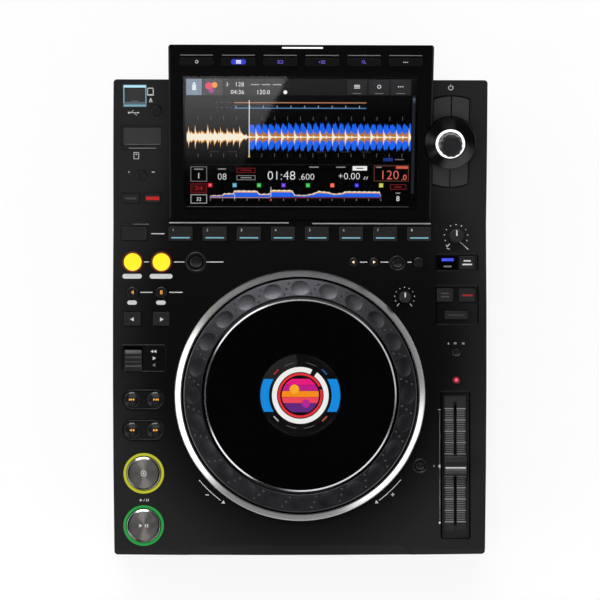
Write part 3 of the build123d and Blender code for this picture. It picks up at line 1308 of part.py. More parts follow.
def tempo_knob():
    """The fader's cap: a saddle with raised ends, on the thin stem that runs in the slot."""
    low = FADER_CAP_GAP - RECESS_DEPTH
    top = low + FADER_CAP_HEIGHT
    end = FADER_CAP_LENGTH / 2
    crest = end - FADER_CAP_CREST
    saddle = make_face([
        Line((-end, low), (-end + FADER_CAP_TAPER, top)),
        Line((-end + FADER_CAP_TAPER, top), (-crest, top)),
        ThreePointArc((-crest, top), (0, top - FADER_CAP_VALLEY), (crest, top)),
        Line((crest, top), (end - FADER_CAP_TAPER, top)),
        Line((end - FADER_CAP_TAPER, top), (end, low)),
        Line((end, low), (-end, low)),
    ])
    cap = extrude(Plane.YZ * saddle, amount=FADER_CAP_WIDTH / 2, both=True)
    cap -= slab(2 * FADER_CAP_WIDTH, POINTER_WIDTH, top - FADER_CAP_VALLEY - POINTER_DEPTH, 2 * top)
    stem = slab(FADER_STEM_WIDTH, FADER_STEM_LENGTH, -PANEL_WALL - FADER_STEM_DEPTH, low)
    return place(DECK, FADER_X, FADER_Y, cap + stem)


def tempo_fader():
    """The long fader under the deck, with the trough that the cap's stem runs in."""
    top = -PANEL_WALL
    body = slab(FADER_BODY_WIDTH, FADER_BODY_LENGTH, top - FADER_BODY_HEIGHT, top)
    trough = 2 * FADER_TRAVEL + FADER_STEM_LENGTH + 2 * FADER_END_GAP
    body -= slab(FADER_TROUGH_WIDTH, trough, top - FADER_STEM_DEPTH - FADER_END_GAP, top)
    return place(DECK, FADER_X, FADER_Y, body)


# ---- Switch boards -------------------------------------------------------------------------------
def board(x_low, x_high, y_low, y_high):
    """A board at the depth that the switches need, in its panel's frame."""
    return block(x_low, x_high, y_low, y_high, -BOARD_DEPTH - BOARD_THICKNESS, -BOARD_DEPTH)


def potentiometer():
    """The body below a small knob's shaft."""
    return square_post(POT_SIZE, -BOARD_DEPTH, -KNOB_SHAFT_LENGTH - KNOB_SKIRT_GAP)


def boss_notches(plane):
    """The gaps that a board leaves round the case's screw bosses, in its panel's frame."""
    depth = BODY_HEIGHT
    side = BOSS_SIZE + 2 * BOARD_GAP
    notches = [square_post(side, 0.0, 2 * depth, x, y) for x, y in BOSSES]
    return [plane.location.inverse() * notch for notch in notches]


def deck_switch_places():
    """Where each of the deck's switches is: x and row."""
    places = [(x, row) for x, row, _ in ROUND_BUTTONS.values()]
    places += [(x, row) for x, row, _, _ in SQUARE_KEYS.values()]
    places += [(x, BEAT_LOOP_ROW) for x in BEAT_LOOP_X]
    places += [(x, LOOP_ROW) for x in CUE_CALL_XS]
    places += [(x, PAD_ROW) for x in PAD_XS]
    places += [(TRANSPORT_X, row) for row in TRANSPORT_BUTTONS.values()]
    return places


def deck_board():
    """The board under the deck: a strip at each side and one across, with switches and two pots."""
    rear = FRONT + DECK_BOARD_REAR
    plate = board(LEFT + DECK_BOARD_EDGE, LEFT + DECK_STRIP_WIDTH, FRONT + DECK_BOARD_FRONT, rear)
    plate += board(RIGHT - RIGHT_STRIP_WIDTH, RIGHT - DECK_BOARD_EDGE, FRONT + DECK_BOARD_FRONT, rear)
    plate += board(LEFT + DECK_BOARD_EDGE, RIGHT - DECK_BOARD_EDGE, FRONT + CENTRE_STRIP_FRONT, rear)
    plate += board(JOG_ADJUST_X - POT_SIZE, RIGHT_X, FRONT + JOG_ADJUST_ROW - POT_SIZE, rear)
    foot = SPIDER_FOOT_CIRCLE * math.sqrt(0.5)
    cuts = boss_notches(DECK)
    for x, y in ((-foot, foot), (foot, foot), (-foot, -foot), (foot, -foot)):
        cuts.append(square_post(SPIDER_FOOT_SIZE * math.sqrt(2) + BOARD_GAP, -BODY_HEIGHT, 0.0, x, JOG_Y + y))
    cuts.append(Pos(FADER_X, FADER_Y, 0) * slab(
        FADER_BODY_WIDTH + 2 * BOARD_GAP, FADER_BODY_LENGTH + 2 * BOARD_GAP, -BODY_HEIGHT, 0.0))
    cheeks = LEVER_WIDTH + 2 * (LEVER_CHEEK_GAP + LEVER_CHEEK_THICKNESS + BOARD_GAP)
    cuts.append(Pos(LEVER_X, LEVER_Y, 0) * slab(cheeks, LEVER_LENGTH + LEVER_HUB_RADIUS, -BODY_HEIGHT, 0.0))
    plate -= cuts
    fitted = [Pos(x, FRONT + row, 0) * switch() for x, row in deck_switch_places()]
    fitted += [Pos(x, FRONT + row, 0) * potentiometer() for x, row, _ in KNOBS.values()]
    return DECK.location * (plate + fitted)


def left_shoulder_board():
    """The board in the left shoulder, with holes for the two media sockets to pass through."""
    inner = -HOUSING_SIDE - SHOULDER_BOARD_EDGE
    plate = board(LEFT + DECK_BOARD_EDGE, inner, SHOULDER_BOARD_FRONT, LEFT_BOARD_REAR)
    cuts = boss_notches(SHOULDER)
    for x, up, width, height in (
        (USB_X, USB_DOOR_CENTRE, USB_A_WIDTH, USB_A_HEIGHT),
        (SD_X, SD_UP, SD_SOCKET_WIDTH, SD_SOCKET_HEIGHT),
    ):
        cuts.append(Pos(x, up, 0) * slab(width + 2 * BOARD_GAP, height + 2 * BOARD_GAP, -BODY_HEIGHT, 0.0))
    fitted = [Pos(x, up, 0) * switch() for x, up in SHOULDER_BUTTONS.values()]
    fitted += [Pos(x, up, 0) * switch() for x, up, _, _ in SHOULDER_KEYS.values()]
    return SHOULDER.location * (plate - cuts + fitted)


def right_shoulder_board():
    """The board in the right shoulder: the selector's encoder and the four browse switches."""
    inner = HOUSING_SIDE + SHOULDER_BOARD_EDGE
    plate = board(inner, RIGHT - DECK_BOARD_EDGE, SHOULDER_BOARD_FRONT, RIGHT_BOARD_REAR)
    encoder = square_post(ENCODER_SIZE, -BOARD_DEPTH, -BOARD_DEPTH + ENCODER_HEIGHT)
    fitted = [Pos(SELECTOR_X, SELECTOR_UP, 0) * encoder]
    fitted += [Pos(BROWSE_X + x, up, 0) * switch() for x, up in browse_stems()]
    return SHOULDER.location * (plate - boss_notches(SHOULDER) + fitted)


def menu_board():
    """The narrow board under the keys above the screen."""
    half = MENU_XS[-1] + SWITCH_SIZE
    plate = board(-half, half, MENU_KEY_UP_STRIP - SWITCH_SIZE, MENU_KEY_UP_STRIP + SWITCH_SIZE)
    fitted = [Pos(x, MENU_KEY_UP_STRIP, 0) * switch() for x in MENU_XS]
    return STRIP.location * (plate + fitted)


def power_board():
    """The small board behind the power button."""
    half = POWER_BOARD / 2 + STEM_SIZE
    plate = board(-half, half, -SWITCH_SIZE, SWITCH_SIZE) + switch()
    return at_power(plate)


# ---- Bottom chassis and rear panel ---------------------------------------------------------------
def feet_places():
    """Where the four feet are."""
    front = FRONT + FOOT_FROM_FRONT
    rear = BODY_REAR - FOOT_FROM_REAR
    return [(side * (RIGHT - FOOT_INSET), y) for side in (-1, 1) for y in (front, rear)]


def standoff_places():
    """Where the posts under the main board and the power supply are."""
    places = []
    for x, back, width, length in (
        (MAIN_BOARD_X, MAIN_BOARD_FROM_REAR, MAIN_BOARD_WIDTH, MAIN_BOARD_LENGTH),
        (SUPPLY_X, SUPPLY_FROM_REAR, SUPPLY_WIDTH, SUPPLY_LENGTH),
    ):
        for side in (-1, 1):
            for end in (-1, 1):
                across = x + side * (width / 2 - STANDOFF_INSET)
                places.append((across, BODY_REAR - back + end * (length / 2 - STANDOFF_INSET)))
    return places


def bottom_chassis():
    """The tray: side walls with a lip that the upper case fits over, rear panel, vents and standoffs."""
    rim = SEAM_HEIGHT - RIM_HEIGHT
    lip_top = SEAM_HEIGHT + LIP_HEIGHT
    tray = column(body_outline(0.0), FOOT_HEIGHT, SEAM_HEIGHT - SEAM_GAP)
    tray += column(body_outline(SEAM_STEP), SEAM_HEIGHT - SEAM_GAP, SEAM_HEIGHT)
    tray += column(body_outline(SKIRT_WALL + LIP_GAP), SEAM_HEIGHT, lip_top)
    tray -= column(body_outline(CHASSIS_WALL), FLOOR_TOP, rim)
    tray -= column(body_outline(RIM_WALL), rim, lip_top)
    half = REAR_PANEL_HALF_WIDTH - SEAM_GAP
    tray -= block(-half, half, BODY_REAR - 2 * RIM_WALL, BODY_REAR + OVERCUT, rim, lip_top)
    tray += block(-half, half, BODY_REAR - CHASSIS_WALL, BODY_REAR, FLOOR_TOP, REAR_PANEL_TOP - SEAM_GAP)
    standoff_top = FLOOR_TOP + STANDOFF_HEIGHT
    tray += [square_post(STANDOFF_SIZE, FLOOR_TOP, standoff_top, x, y) for x, y in standoff_places()]
    gap = 2 * SOCKET_GAP
    deep = 2 * CHASSIS_WALL
    cuts = [
        rear_box(AC_X, AC_BODY_WIDTH + gap, AC_BODY_HEIGHT + gap, deep, OVERCUT),
        rear_box(LAN_X, LAN_WIDTH + gap, LAN_HEIGHT + gap, deep, OVERCUT),
        rear_box(USB_B_X, USB_B_WIDTH + gap, USB_B_HEIGHT + gap, deep, OVERCUT),
        rear_box(LOCK_SLOT_X, LOCK_SLOT_WIDTH, LOCK_SLOT_HEIGHT, deep, OVERCUT),
    ]
    for x in RCA_X:
        cuts.append(rear_box(x, RCA_BLOCK + gap, RCA_BLOCK + gap, deep, OVERCUT))
    for side in (-1, 1):
        for index in range(VENT_COUNT):
            x = side * VENT_X + VENT_PITCH * (index - (VENT_COUNT - 1) / 2)
            y = BODY_REAR - VENT_FROM_REAR
            cuts.append(Pos(x, y, 0) * slab(VENT_WIDTH, VENT_LENGTH, 0.0, FLOOR_TOP))
    return tray - cuts


def rear_round(x, radius, z_low, z_high):
    """A cylinder along the depth, at a jack's place on the rear panel."""
    return place(REAR_FACE, -x, JACK_HEIGHT, post(radius, z_low, z_high))


def rubber_feet():
    """Four round feet."""
    return [post(FOOT_RADIUS, 0.0, FOOT_HEIGHT, x, y) for x, y in feet_places()]


def ac_inlet():
    """The mains inlet: flange, body, and three pins deep in its cavity."""
    body = rear_box(AC_X, AC_BODY_WIDTH, AC_BODY_HEIGHT, AC_BODY_DEPTH)
    body += rear_box(AC_X, AC_FLANGE_WIDTH, AC_FLANGE_HEIGHT, 0.0, AC_FLANGE_THICKNESS)
    cavity = AC_CAVITY_DEPTH - AC_FLANGE_THICKNESS
    body -= rear_box(AC_X, AC_CAVITY_WIDTH, AC_CAVITY_HEIGHT, cavity, AC_FLANGE_THICKNESS)
    half = AC_PIN_SPACING / 2
    for across, rise in ((-half, -AC_PIN_OFFSET), (0.0, AC_EARTH_OFFSET), (half, -AC_PIN_OFFSET)):
        pin = block(
            AC_X + across - AC_PIN_WIDTH / 2, AC_X + across + AC_PIN_WIDTH / 2,
            BODY_REAR - AC_CAVITY_DEPTH, BODY_REAR - cavity + AC_PIN_LENGTH,
            JACK_HEIGHT + rise - AC_PIN_HEIGHT / 2, JACK_HEIGHT + rise + AC_PIN_HEIGHT / 2,
        )
        body += pin
    return body


def rca_jacks():
    """The three round audio and control jacks, each with a block behind the panel."""
    jacks = []
    for x in RCA_X:
        jack = rear_box(x, RCA_BLOCK, RCA_BLOCK, RCA_BLOCK_DEPTH, RCA_BLOCK_RISE)
        jack += rear_round(x, RCA_RADIUS, 0.0, RCA_LENGTH)
        jacks.append(jack - rear_round(x, RCA_BORE, 0.0, RCA_LENGTH))
    return jacks


# ---- Boards on the chassis floor -----------------------------------------------------------------
def main_board():
    """The main board with its processor's heat sink, memory and connectors."""
    low = FLOOR_TOP + STANDOFF_HEIGHT
    top = low + BOARD_THICKNESS
    y = BODY_REAR - MAIN_BOARD_FROM_REAR
    main = Pos(MAIN_BOARD_X, y, 0) * slab(MAIN_BOARD_WIDTH, MAIN_BOARD_LENGTH, low, top)
    for x, back, width, length, height in CHIPS:
        main += Pos(MAIN_BOARD_X + x, y + back, 0) * slab(width, length, top, top + height)
    return main


def power_supply():
    """The power supply: board, transformer, heat sink and two capacitors."""
    low = FLOOR_TOP + STANDOFF_HEIGHT
    top = low + BOARD_THICKNESS
    y = BODY_REAR - SUPPLY_FROM_REAR
    supply = Pos(SUPPLY_X, y, 0) * slab(SUPPLY_WIDTH, SUPPLY_LENGTH, low, top)
    for x, back, width, length, height in SUPPLY_BLOCKS:
        supply += Pos(SUPPLY_X + x, y + back, 0) * slab(width, length, top, top + height)
    for x, back, radius, height in SUPPLY_CANS:
        supply += post(radius, top, top + height, SUPPLY_X + x, y + back)
    return supply


# ---- The parts, by name --------------------------------------------------------------------------
def deck_button(name):
    """A round button of the deck, by its name."""
    x, row, radius = ROUND_BUTTONS[name]
    return place(DECK, x, FRONT + row, round_button(radius))


def deck_key(name):
    """A rectangular key of the deck, by its name."""
    x, row, width, length = SQUARE_KEYS[name]
    return place(DECK, x, FRONT + row, square_key(width, length))


def shoulder_button(name):
    """A round button of the left shoulder, by its name."""
    x, up = SHOULDER_BUTTONS[name]
    return place(SHOULDER, x, up, round_button(SMALL_BUTTON_RADIUS))


def shoulder_key(name):
    """A rectangular key of the left shoulder, by its name."""
    x, up, width, length = SHOULDER_KEYS[name]
    return place(SHOULDER, x, up, square_key(width, length))


def deck_knob(name):
    """A turning knob of the deck, by its name."""
    x, row, radius = KNOBS[name]
    return place(DECK, x, FRONT + row, turning_knob(radius))


def beat_loop_buttons():
    """The pair of round loop-length buttons."""
    return [place(DECK, x, FRONT + BEAT_LOOP_ROW, round_button(BEAT_LOOP_RADIUS)) for x in BEAT_LOOP_X]


def cue_call_buttons():
    """The pair of small cue call buttons."""
    return [place(DECK, x, FRONT + LOOP_ROW, round_button(CUE_CALL_RADIUS)) for x in CUE_CALL_XS]


def hot_cue_keys():
    """The row of eight pads."""
    key = square_key(PAD_WIDTH, PAD_LENGTH, PAD_RISE)
    return [place(DECK, x, FRONT + PAD_ROW, key) for x in PAD_XS]


def power_button():
    """The power button in the rear wall of the right shoulder."""
    return at_power(round_button(POWER_RADIUS, POWER_RISE, POWER_TRAVEL))


def all_parts():
    """Every part by its name."""
    whole = [
        top_panel, bottom_chassis, display_housing, display_glass, lcd_module, menu_keys,
        jog_trim_ring, jog_dial, jog_plate, jog_base, jog_bush, jog_center_display,
        selector_turret, selector_shaft, selector_knob, browse_keys, light_guides,
        direction_lever, tempo_knob, tempo_fader, usb_cover, sd_cover, data_sockets,
        rca_jacks, ac_inlet, rubber_feet, main_board, power_supply,
        beat_loop_buttons, cue_call_buttons, hot_cue_keys, power_button,
    ]
    for function in whole:
        yield function.__name__, function()
    for names, maker in (
        (ROUND_BUTTONS, deck_button),
        (SQUARE_KEYS, deck_key),
        (SHOULDER_BUTTONS, shoulder_button),
        (SHOULDER_KEYS, shoulder_key),
        (KNOBS, deck_knob),
    ):
        for name in names:
            yield name, maker(name)
    for name, row in TRANSPORT_BUTTONS.items():
        yield name, transport_button(row)
    boards = [deck_board(), left_shoulder_board(), right_shoulder_board(), menu_board(), power_board()]
    yield "switch_boards", boards


os.makedirs("parts", exist_ok=True)
for part_name, made in all_parts():
    solids = made if isinstance(made, list) else [made]
    export_step(Compound(children=solids) if len(solids) > 1 else solids[0], f"parts/{part_name}.step")
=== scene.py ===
import math

import bmesh
import bpy
import numpy as np
from mathutils import Matrix


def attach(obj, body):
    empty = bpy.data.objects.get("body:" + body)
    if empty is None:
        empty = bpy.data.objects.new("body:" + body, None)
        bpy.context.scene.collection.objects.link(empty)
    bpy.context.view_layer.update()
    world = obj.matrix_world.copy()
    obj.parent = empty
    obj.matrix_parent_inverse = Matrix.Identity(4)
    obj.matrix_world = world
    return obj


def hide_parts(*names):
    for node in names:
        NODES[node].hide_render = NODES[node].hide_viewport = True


# The looks of a tabletop player: finishes for its moulded case, finely worked jog dial, knobs and
# buttons, lit keys and screens, printed marks and the screws below.
# Lengths in this file are millimetres until MM turns them into metres. Angles are degrees,
# measured anticlockwise from the player's right-hand side.

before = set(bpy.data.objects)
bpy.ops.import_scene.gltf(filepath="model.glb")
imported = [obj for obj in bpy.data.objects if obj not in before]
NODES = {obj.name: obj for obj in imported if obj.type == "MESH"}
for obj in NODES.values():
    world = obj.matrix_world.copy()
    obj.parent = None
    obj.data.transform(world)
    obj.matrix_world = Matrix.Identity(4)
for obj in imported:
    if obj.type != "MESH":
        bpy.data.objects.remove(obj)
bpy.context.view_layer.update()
MM = 0.001

# ---- Where things are ----------------------------------------------------------------------------
HALF_WIDTH = 165.5
DECK_TOP = 66.0
JOG_AT = (0.0, -81.5)
TRANSPORT_X = -138.0
CUE_Y, PLAY_Y = -150.4, -196.4
SELECTOR_AT = (131.5, 73.8)
FADER_AT = (137.3, -143.5)
LEVER_AT = (-147.3, -50.8)
JOG_KNOB_AT, SPEED_KNOB_AT = (92.7, 5.3), (138.5, 59.6)
HERE = (0.0, 0.0)
ROUND = 192

# What is hidden of a key: its flange stands out and is as thick, and a square stem ends above a switch.
FLANGE, STEM, STEM_FOOT, SEAT = 1.2, 2.4, -7.7, -3.3

# How a thin mark lies: its foot and its top over the panel, or over the face of what it is on.
ON_CASE, ON_KEY = (-0.02, 0.03), (0.9, 1.14)


class Panel:
    """A flat panel of the case: a point is origin + x across + y up its slope + z off it."""

    def __init__(self, origin, slope):
        """A panel that passes through its origin and climbs towards the back by an angle."""
        lean = math.radians(slope)
        self.origin = np.array(origin, float)
        self.across = np.array((1.0, 0.0, 0.0))
        self.uphill = np.array((0.0, math.cos(lean), math.sin(lean)))
        self.off = np.array((0.0, -math.sin(lean), math.cos(lean)))

    def carry(self, points, x=0.0, y=0.0):
        """Points drawn about (x, y) on the panel, in metres in the player's frame."""
        points = np.asarray(points, float)
        across = (points[..., 0:1] + x) * self.across
        uphill = (points[..., 1:2] + y) * self.uphill
        return (self.origin + across + uphill + points[..., 2:3] * self.off) * MM


DECK = Panel((0.0, 0.0, DECK_TOP), 0.0)
SHOULDER = Panel((0.0, 70.0, DECK_TOP), 15.0)
SCREEN = Panel((0.0, 74.0, 71.5), math.degrees(math.atan2(38.5, 125.5)))
STRIP = Panel((0.0, 199.5, 110.0), math.degrees(math.atan2(8.0, 23.5)))


# ---- Meshes --------------------------------------------------------------------------------------
MERGE = 2e-6


def placed(name, mesh, material):
    """The mesh as an object of the scene, with one material."""
    mesh.materials.append(material)
    thing = bpy.data.objects.new(name, mesh)
    bpy.context.scene.collection.objects.link(thing)
    return thing


def piece(name, points, faces, material, smooth=35.0):
    """A mesh object from points in metres and faces as lists of point numbers. Points closer than
    MERGE become one, and edges steeper than smooth stay sharp."""
    mesh = bpy.data.meshes.new(name)
    mesh.from_pydata(np.asarray(points).reshape(-1, 3).tolist(), [], faces)
    tidy = bmesh.new()
    tidy.from_mesh(mesh)
    bmesh.ops.remove_doubles(tidy, verts=tidy.verts, dist=MERGE)
    tidy.to_mesh(mesh)
    tidy.free()
    mesh.polygons.foreach_set("use_smooth", np.ones(len(mesh.polygons), bool))
    mesh.set_sharp_from_angle(angle=math.radians(smooth))
    return placed(name, mesh, material)


def settle(thing, body, slot, *nodes):
    """The piece rides on its body and stands for its CAD nodes, which are hidden. Its slot is not used."""
    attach(thing, body)
    if nodes:
        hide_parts(*nodes)
    return thing


def grid_faces(rows, columns, close_rows, close_columns):
    """Quads between neighbours of a rows by columns grid, wrapping round where it is closed."""
    row = np.arange(rows if close_rows else rows - 1)[:, None]
    column = np.arange(columns if close_columns else columns - 1)[None, :]
    below, right = (row + 1) % rows, (column + 1) % columns
    here, under = row * columns, below * columns
    corners = (here + column, here + right, under + right, under + column)
    return np.stack(np.broadcast_arrays(*corners), -1).reshape(-1, 4).tolist()


def eased(profile, radius=0.3, steps=3):
    """A profile with each inner corner replaced by a short arc: a quadratic curve from radius
    before the corner to radius after it."""
    points = np.asarray(profile, float)
    out = [points[:1]]
    for before, corner, after in zip(points[:-2], points[1:-1], points[2:]):
        lead, trail = before - corner, after - corner
        reach = min(radius, 0.45 * np.hypot(*lead), 0.45 * np.hypot(*trail))
        start = corner + lead / np.hypot(*lead) * reach
        stop = corner + trail / np.hypot(*trail) * reach
        t = np.linspace(0.0, 1.0, steps + 1)[:, None]
        out.append((1 - t) ** 2 * start + 2 * t * (1 - t) * corner + t ** 2 * stop)
    out.append(points[-1:])
    return np.concatenate(out)


def turned(name, profile, panel, at, material, segments=ROUND, shape=None, closed=False, smooth=35.0):
    """A profile of (radius, height) swept about an axis: a point is (r cos a, r sin a, h).
    shape(angle, radius, height) may move the points. Profiles run from the outside's foot over the
    top, anticlockwise in the half section, so that faces point outwards."""
    profile = np.asarray(profile, float)
    angle = np.linspace(0.0, 2 * math.pi, segments, endpoint=False)[:, None]
    radius, height = (np.broadcast_to(column, (segments, len(profile))) for column in profile.T)
    angle = np.broadcast_to(angle, radius.shape)
    if shape:
        radius, height = shape(angle, radius, height)
    points = np.stack((radius * np.cos(angle), radius * np.sin(angle), height), -1)
    faces = [side[::-1] for side in grid_faces(segments, len(profile), True, closed)]
    return piece(name, panel.carry(points, *at), faces, material, smooth)


def rounded_outline(width, length, radius, steps=6):
    """A rectangle with round corners, anticlockwise: quarter circles about four centres."""
    turn = np.radians(np.linspace(0.0, 90.0, steps))
    quarters = []
    for quarter, (sx, sy) in enumerate(((1, 1), (-1, 1), (-1, -1), (1, -1))):
        angle = turn + quarter * math.pi / 2
        centre = np.array((sx * (width / 2 - radius), sy * (length / 2 - radius)))
        quarters.append(centre + radius * np.stack((np.cos(angle), np.sin(angle)), -1))
    return np.concatenate(quarters)


def level(outline, height):
    """The outline's points at one height."""
    return np.c_[outline, np.full(len(outline), height)]


def stacked(name, rings, panel, at, material, smooth=35.0):
    """Closed rings of the same number of points, stacked from foot to top and capped at both ends."""
    rings = np.asarray(rings, float)
    layers, count, _ = rings.shape
    faces = grid_faces(layers, count, False, True)
    faces.append(list(range(count))[::-1])
    faces.append([(layers - 1) * count + index for index in range(count)])
    return piece(name, panel.carry(rings, *at), faces, material, smooth)


def looped(name, rings, panel, at, material, smooth):
    """Closed rings of the same number of points, the last joined to the first: a frame or a rim."""
    rings = np.array(rings)
    faces = grid_faces(len(rings), rings.shape[1], True, True)
    return piece(name, panel.carry(rings, *at), faces, material, smooth)


def key_rings(width, length, top, seat=SEAT, edge=0.5, hollow=0.0):
    """The rings of a moulded key: stem, flange, straight sides, a rounded top edge whose inset
    follows a quarter circle, then a faintly hollow face."""
    corner, least, inner = 0.9, 0.2, 0.6

    def ring(inset, height):
        """The key's outline, drawn in by an inset."""
        outline = rounded_outline(width - 2 * inset, length - 2 * inset, max(corner - inset, least))
        return level(outline, height)

    under, wide, long = seat - FLANGE, width + 2 * FLANGE, length + 2 * FLANGE
    below = ((STEM, STEM, STEM_FOOT), (STEM, STEM, under), (wide, long, under), (wide, long, seat))
    rings = [level(rounded_outline(w, l, 0.3), z) for w, l, z in below] + [ring(0.0, seat)]
    for t in np.radians(np.linspace(0.0, 90.0, 4)):
        rings.append(ring(edge * (1 - math.cos(t)), top - edge * (1 - math.sin(t))))
    for share in (0.12, 0.3, inner):
        sink = hollow * math.sin(share / inner * math.pi / 2)
        rings.append(ring(edge + share * (min(width, length) / 2 - edge), top - sink))
    return rings


# ---- Flat marks: each is points (x, y) round its outline -----------------------------------------
def bar(x, y, width, height, turn=0.0):
    """A rectangle about its middle, turned by an angle."""
    corner = np.array([(-1, -1), (1, -1), (1, 1), (-1, 1)]) * (width / 2, height / 2)
    c, s = math.cos(math.radians(turn)), math.sin(math.radians(turn))
    return corner @ np.array([(c, s), (-s, c)]) + (x, y)


def bars(*rows):
    """A bar for each row of numbers."""
    return [bar(*row) for row in rows]


def disc(x, y, radius, count=28):
    """A regular outline: x + r cos a, y + r sin a."""
    angle = np.linspace(0.0, 2 * math.pi, count, endpoint=False)
    return np.stack((x + radius * np.cos(angle), y + radius * np.sin(angle)), -1)


def pill(x, y, width, height):
    """A bar with round ends."""
    return rounded_outline(width, height, height / 2 * 0.98) + (x, y)


def arrow(x, y, size, heading=0.0):
    """A triangle that points along its heading."""
    angle = np.radians(np.array((0.0, 120.0, 240.0)) + heading)
    return np.stack((x + size * np.cos(angle), y + size * np.sin(angle)), -1)


def arc(x, y, inner, outer, start, stop, count=24):
    """A band between two radii and two angles: out along one arc and back along the other."""
    angle = np.radians(np.linspace(start, stop, count))
    ring = np.stack((np.cos(angle), np.sin(angle)), -1)
    return np.concatenate((ring * outer, ring[::-1] * inner)) + (x, y)


def outlined(x, y, width, height, line):
    """The four bars of a frame."""
    up, out, tall = (height - line) / 2, (width - line) / 2, height - 2 * line
    return bars((x, y + up, width, line), (x, y - up, width, line),
                (x - out, y, line, tall), (x + out, y, line, tall))


def solid_mark(outline, low, high):
    """An outline made a thin solid between two heights: points and faces."""
    count = len(outline)
    points = np.concatenate((level(outline, low), level(outline, high)))
    faces = [list(range(count))[::-1], list(range(count, 2 * count))]
    faces += [[i, (i + 1) % count, (i + 1) % count + count, i + count] for i in range(count)]
    return points, faces


def figures(text, x, y, size, low, high):
    """Plain figures as a thin solid between two heights: points and faces. Large ones are drawn
    a little leaner."""
    large, leaner = 8.0, -0.015
    curve = bpy.data.curves.new("figures", "FONT")
    curve.body, curve.size, curve.resolution_u = text, size, 3
    curve.align_x = curve.align_y = "CENTER"
    curve.extrude = (high - low) / 2
    curve.offset = leaner * size if size > large else 0.0
    holder = bpy.data.objects.new("figures", curve)
    mesh = bpy.data.meshes.new_from_object(holder)
    points = np.empty(len(mesh.vertices) * 3)
    mesh.vertices.foreach_get("co", points)
    points = points.reshape(-1, 3) + (x, y, (low + high) / 2)
    faces = [list(polygon.vertices) for polygon in mesh.polygons]
    bpy.data.objects.remove(holder)
    bpy.data.curves.remove(curve)
    bpy.data.meshes.remove(mesh)
    return points, faces


def rgb(colour):
    """A colour's three shares. A single number stands for a grey."""
    return (colour,) * 3 if isinstance(colour, float) else colour


def coloured(colour, marks):
    """Each of the marks with the one colour."""
    return [(mark, colour) for mark in marks]


def marked(name, panel, at, marks, material, body, slot, between, tinted=False):
    """Many thin marks as one piece. A mark is an outline or a text entry, alone or with a colour."""
    points, faces, tints = [], [], []
    total = 0
    for mark in marks:
        mark, tint = mark if tinted else (mark, 1.0)
        if isinstance(mark, tuple):
            found, sides = figures(*mark, *between)
        else:
            found, sides = solid_mark(mark, *between)
        points.append(found)
        faces += [[index + total for index in side] for side in sides]
        total += len(found)
        tints.append(np.tile((*rgb(tint), 1.0), (len(found), 1)))
    mesh = bpy.data.meshes.new(name)
    mesh.from_pydata(panel.carry(np.concatenate(points), *at).tolist(), [], faces)
    if tinted:
        layer = mesh.color_attributes.new("tint", "FLOAT_COLOR", "POINT")
        layer.data.foreach_set("color", np.concatenate(tints).astype(np.float32).ravel())
    return settle(placed(name, mesh, material), body, slot)


# ---- Materials -----------------------------------------------------------------------------------
BUMP_HEIGHT = 0.0001


def fill(tree, made, inputs):
    """Each input of a node is linked where a socket is given for it, and set otherwise."""
    for word, value in inputs.items():
        if isinstance(value, bpy.types.NodeSocket):
            tree.links.new(value, made.inputs[word])
        else:
            made.inputs[word].default_value = value


def node(tree, kind, inputs=None, operation=None):
    """A shader node with its inputs filled."""
    made = tree.nodes.new("ShaderNode" + kind)
    if operation:
        made.operation = operation
    fill(tree, made, inputs or {})
    return made


def ramped(tree, value, low, high, start=0.0, stop=1.0):
    """start below low, stop above high, and a smooth step between them."""
    made = node(tree, "MapRange", {
        "Value": value, "From Min": low, "From Max": high, "To Min": start, "To Max": stop})
    made.interpolation_type = "SMOOTHSTEP"
    return made.outputs["Result"]


def group_with(name, wants, gives):
    """A node group, what it is given and its output node. A socket is a name, a kind and, for an
    input, a value."""
    tree = bpy.data.node_groups.new(name, "ShaderNodeTree")
    for way, sockets in (("INPUT", wants), ("OUTPUT", gives)):
        for word, kind, *value in sockets:
            socket = tree.interface.new_socket(name=word, in_out=way, socket_type="NodeSocket" + kind)
            if value:
                socket.default_value = value[0]
    return tree, tree.nodes.new("NodeGroupInput").outputs, tree.nodes.new("NodeGroupOutput")


def grain_group():
    """Moulded grain: noise on the object's own coordinates gives a bumped normal, and a slower
    noise gives a mask for faint rubbed patches."""
    wants = (("Scale", "Float", 3000.0), ("Depth", "Float", 0.1), ("Patch", "Float", 30.0))
    tree, given, out = group_with("moulded_grain", wants, (("Normal", "Vector"), ("Rubbed", "Float")))
    place = node(tree, "TexCoord").outputs["Object"]
    fine = node(tree, "TexNoise", {"Vector": place, "Scale": given["Scale"], "Detail": 2.0})
    slow = node(tree, "TexNoise", {"Vector": place, "Scale": given["Patch"], "Detail": 4.0})
    bump = node(tree, "Bump", {
        "Height": fine.outputs["Fac"], "Strength": given["Depth"], "Distance": BUMP_HEIGHT})
    fill(tree, out, {"Normal": bump.outputs["Normal"], "Rubbed": slow.outputs["Fac"]})
    return tree


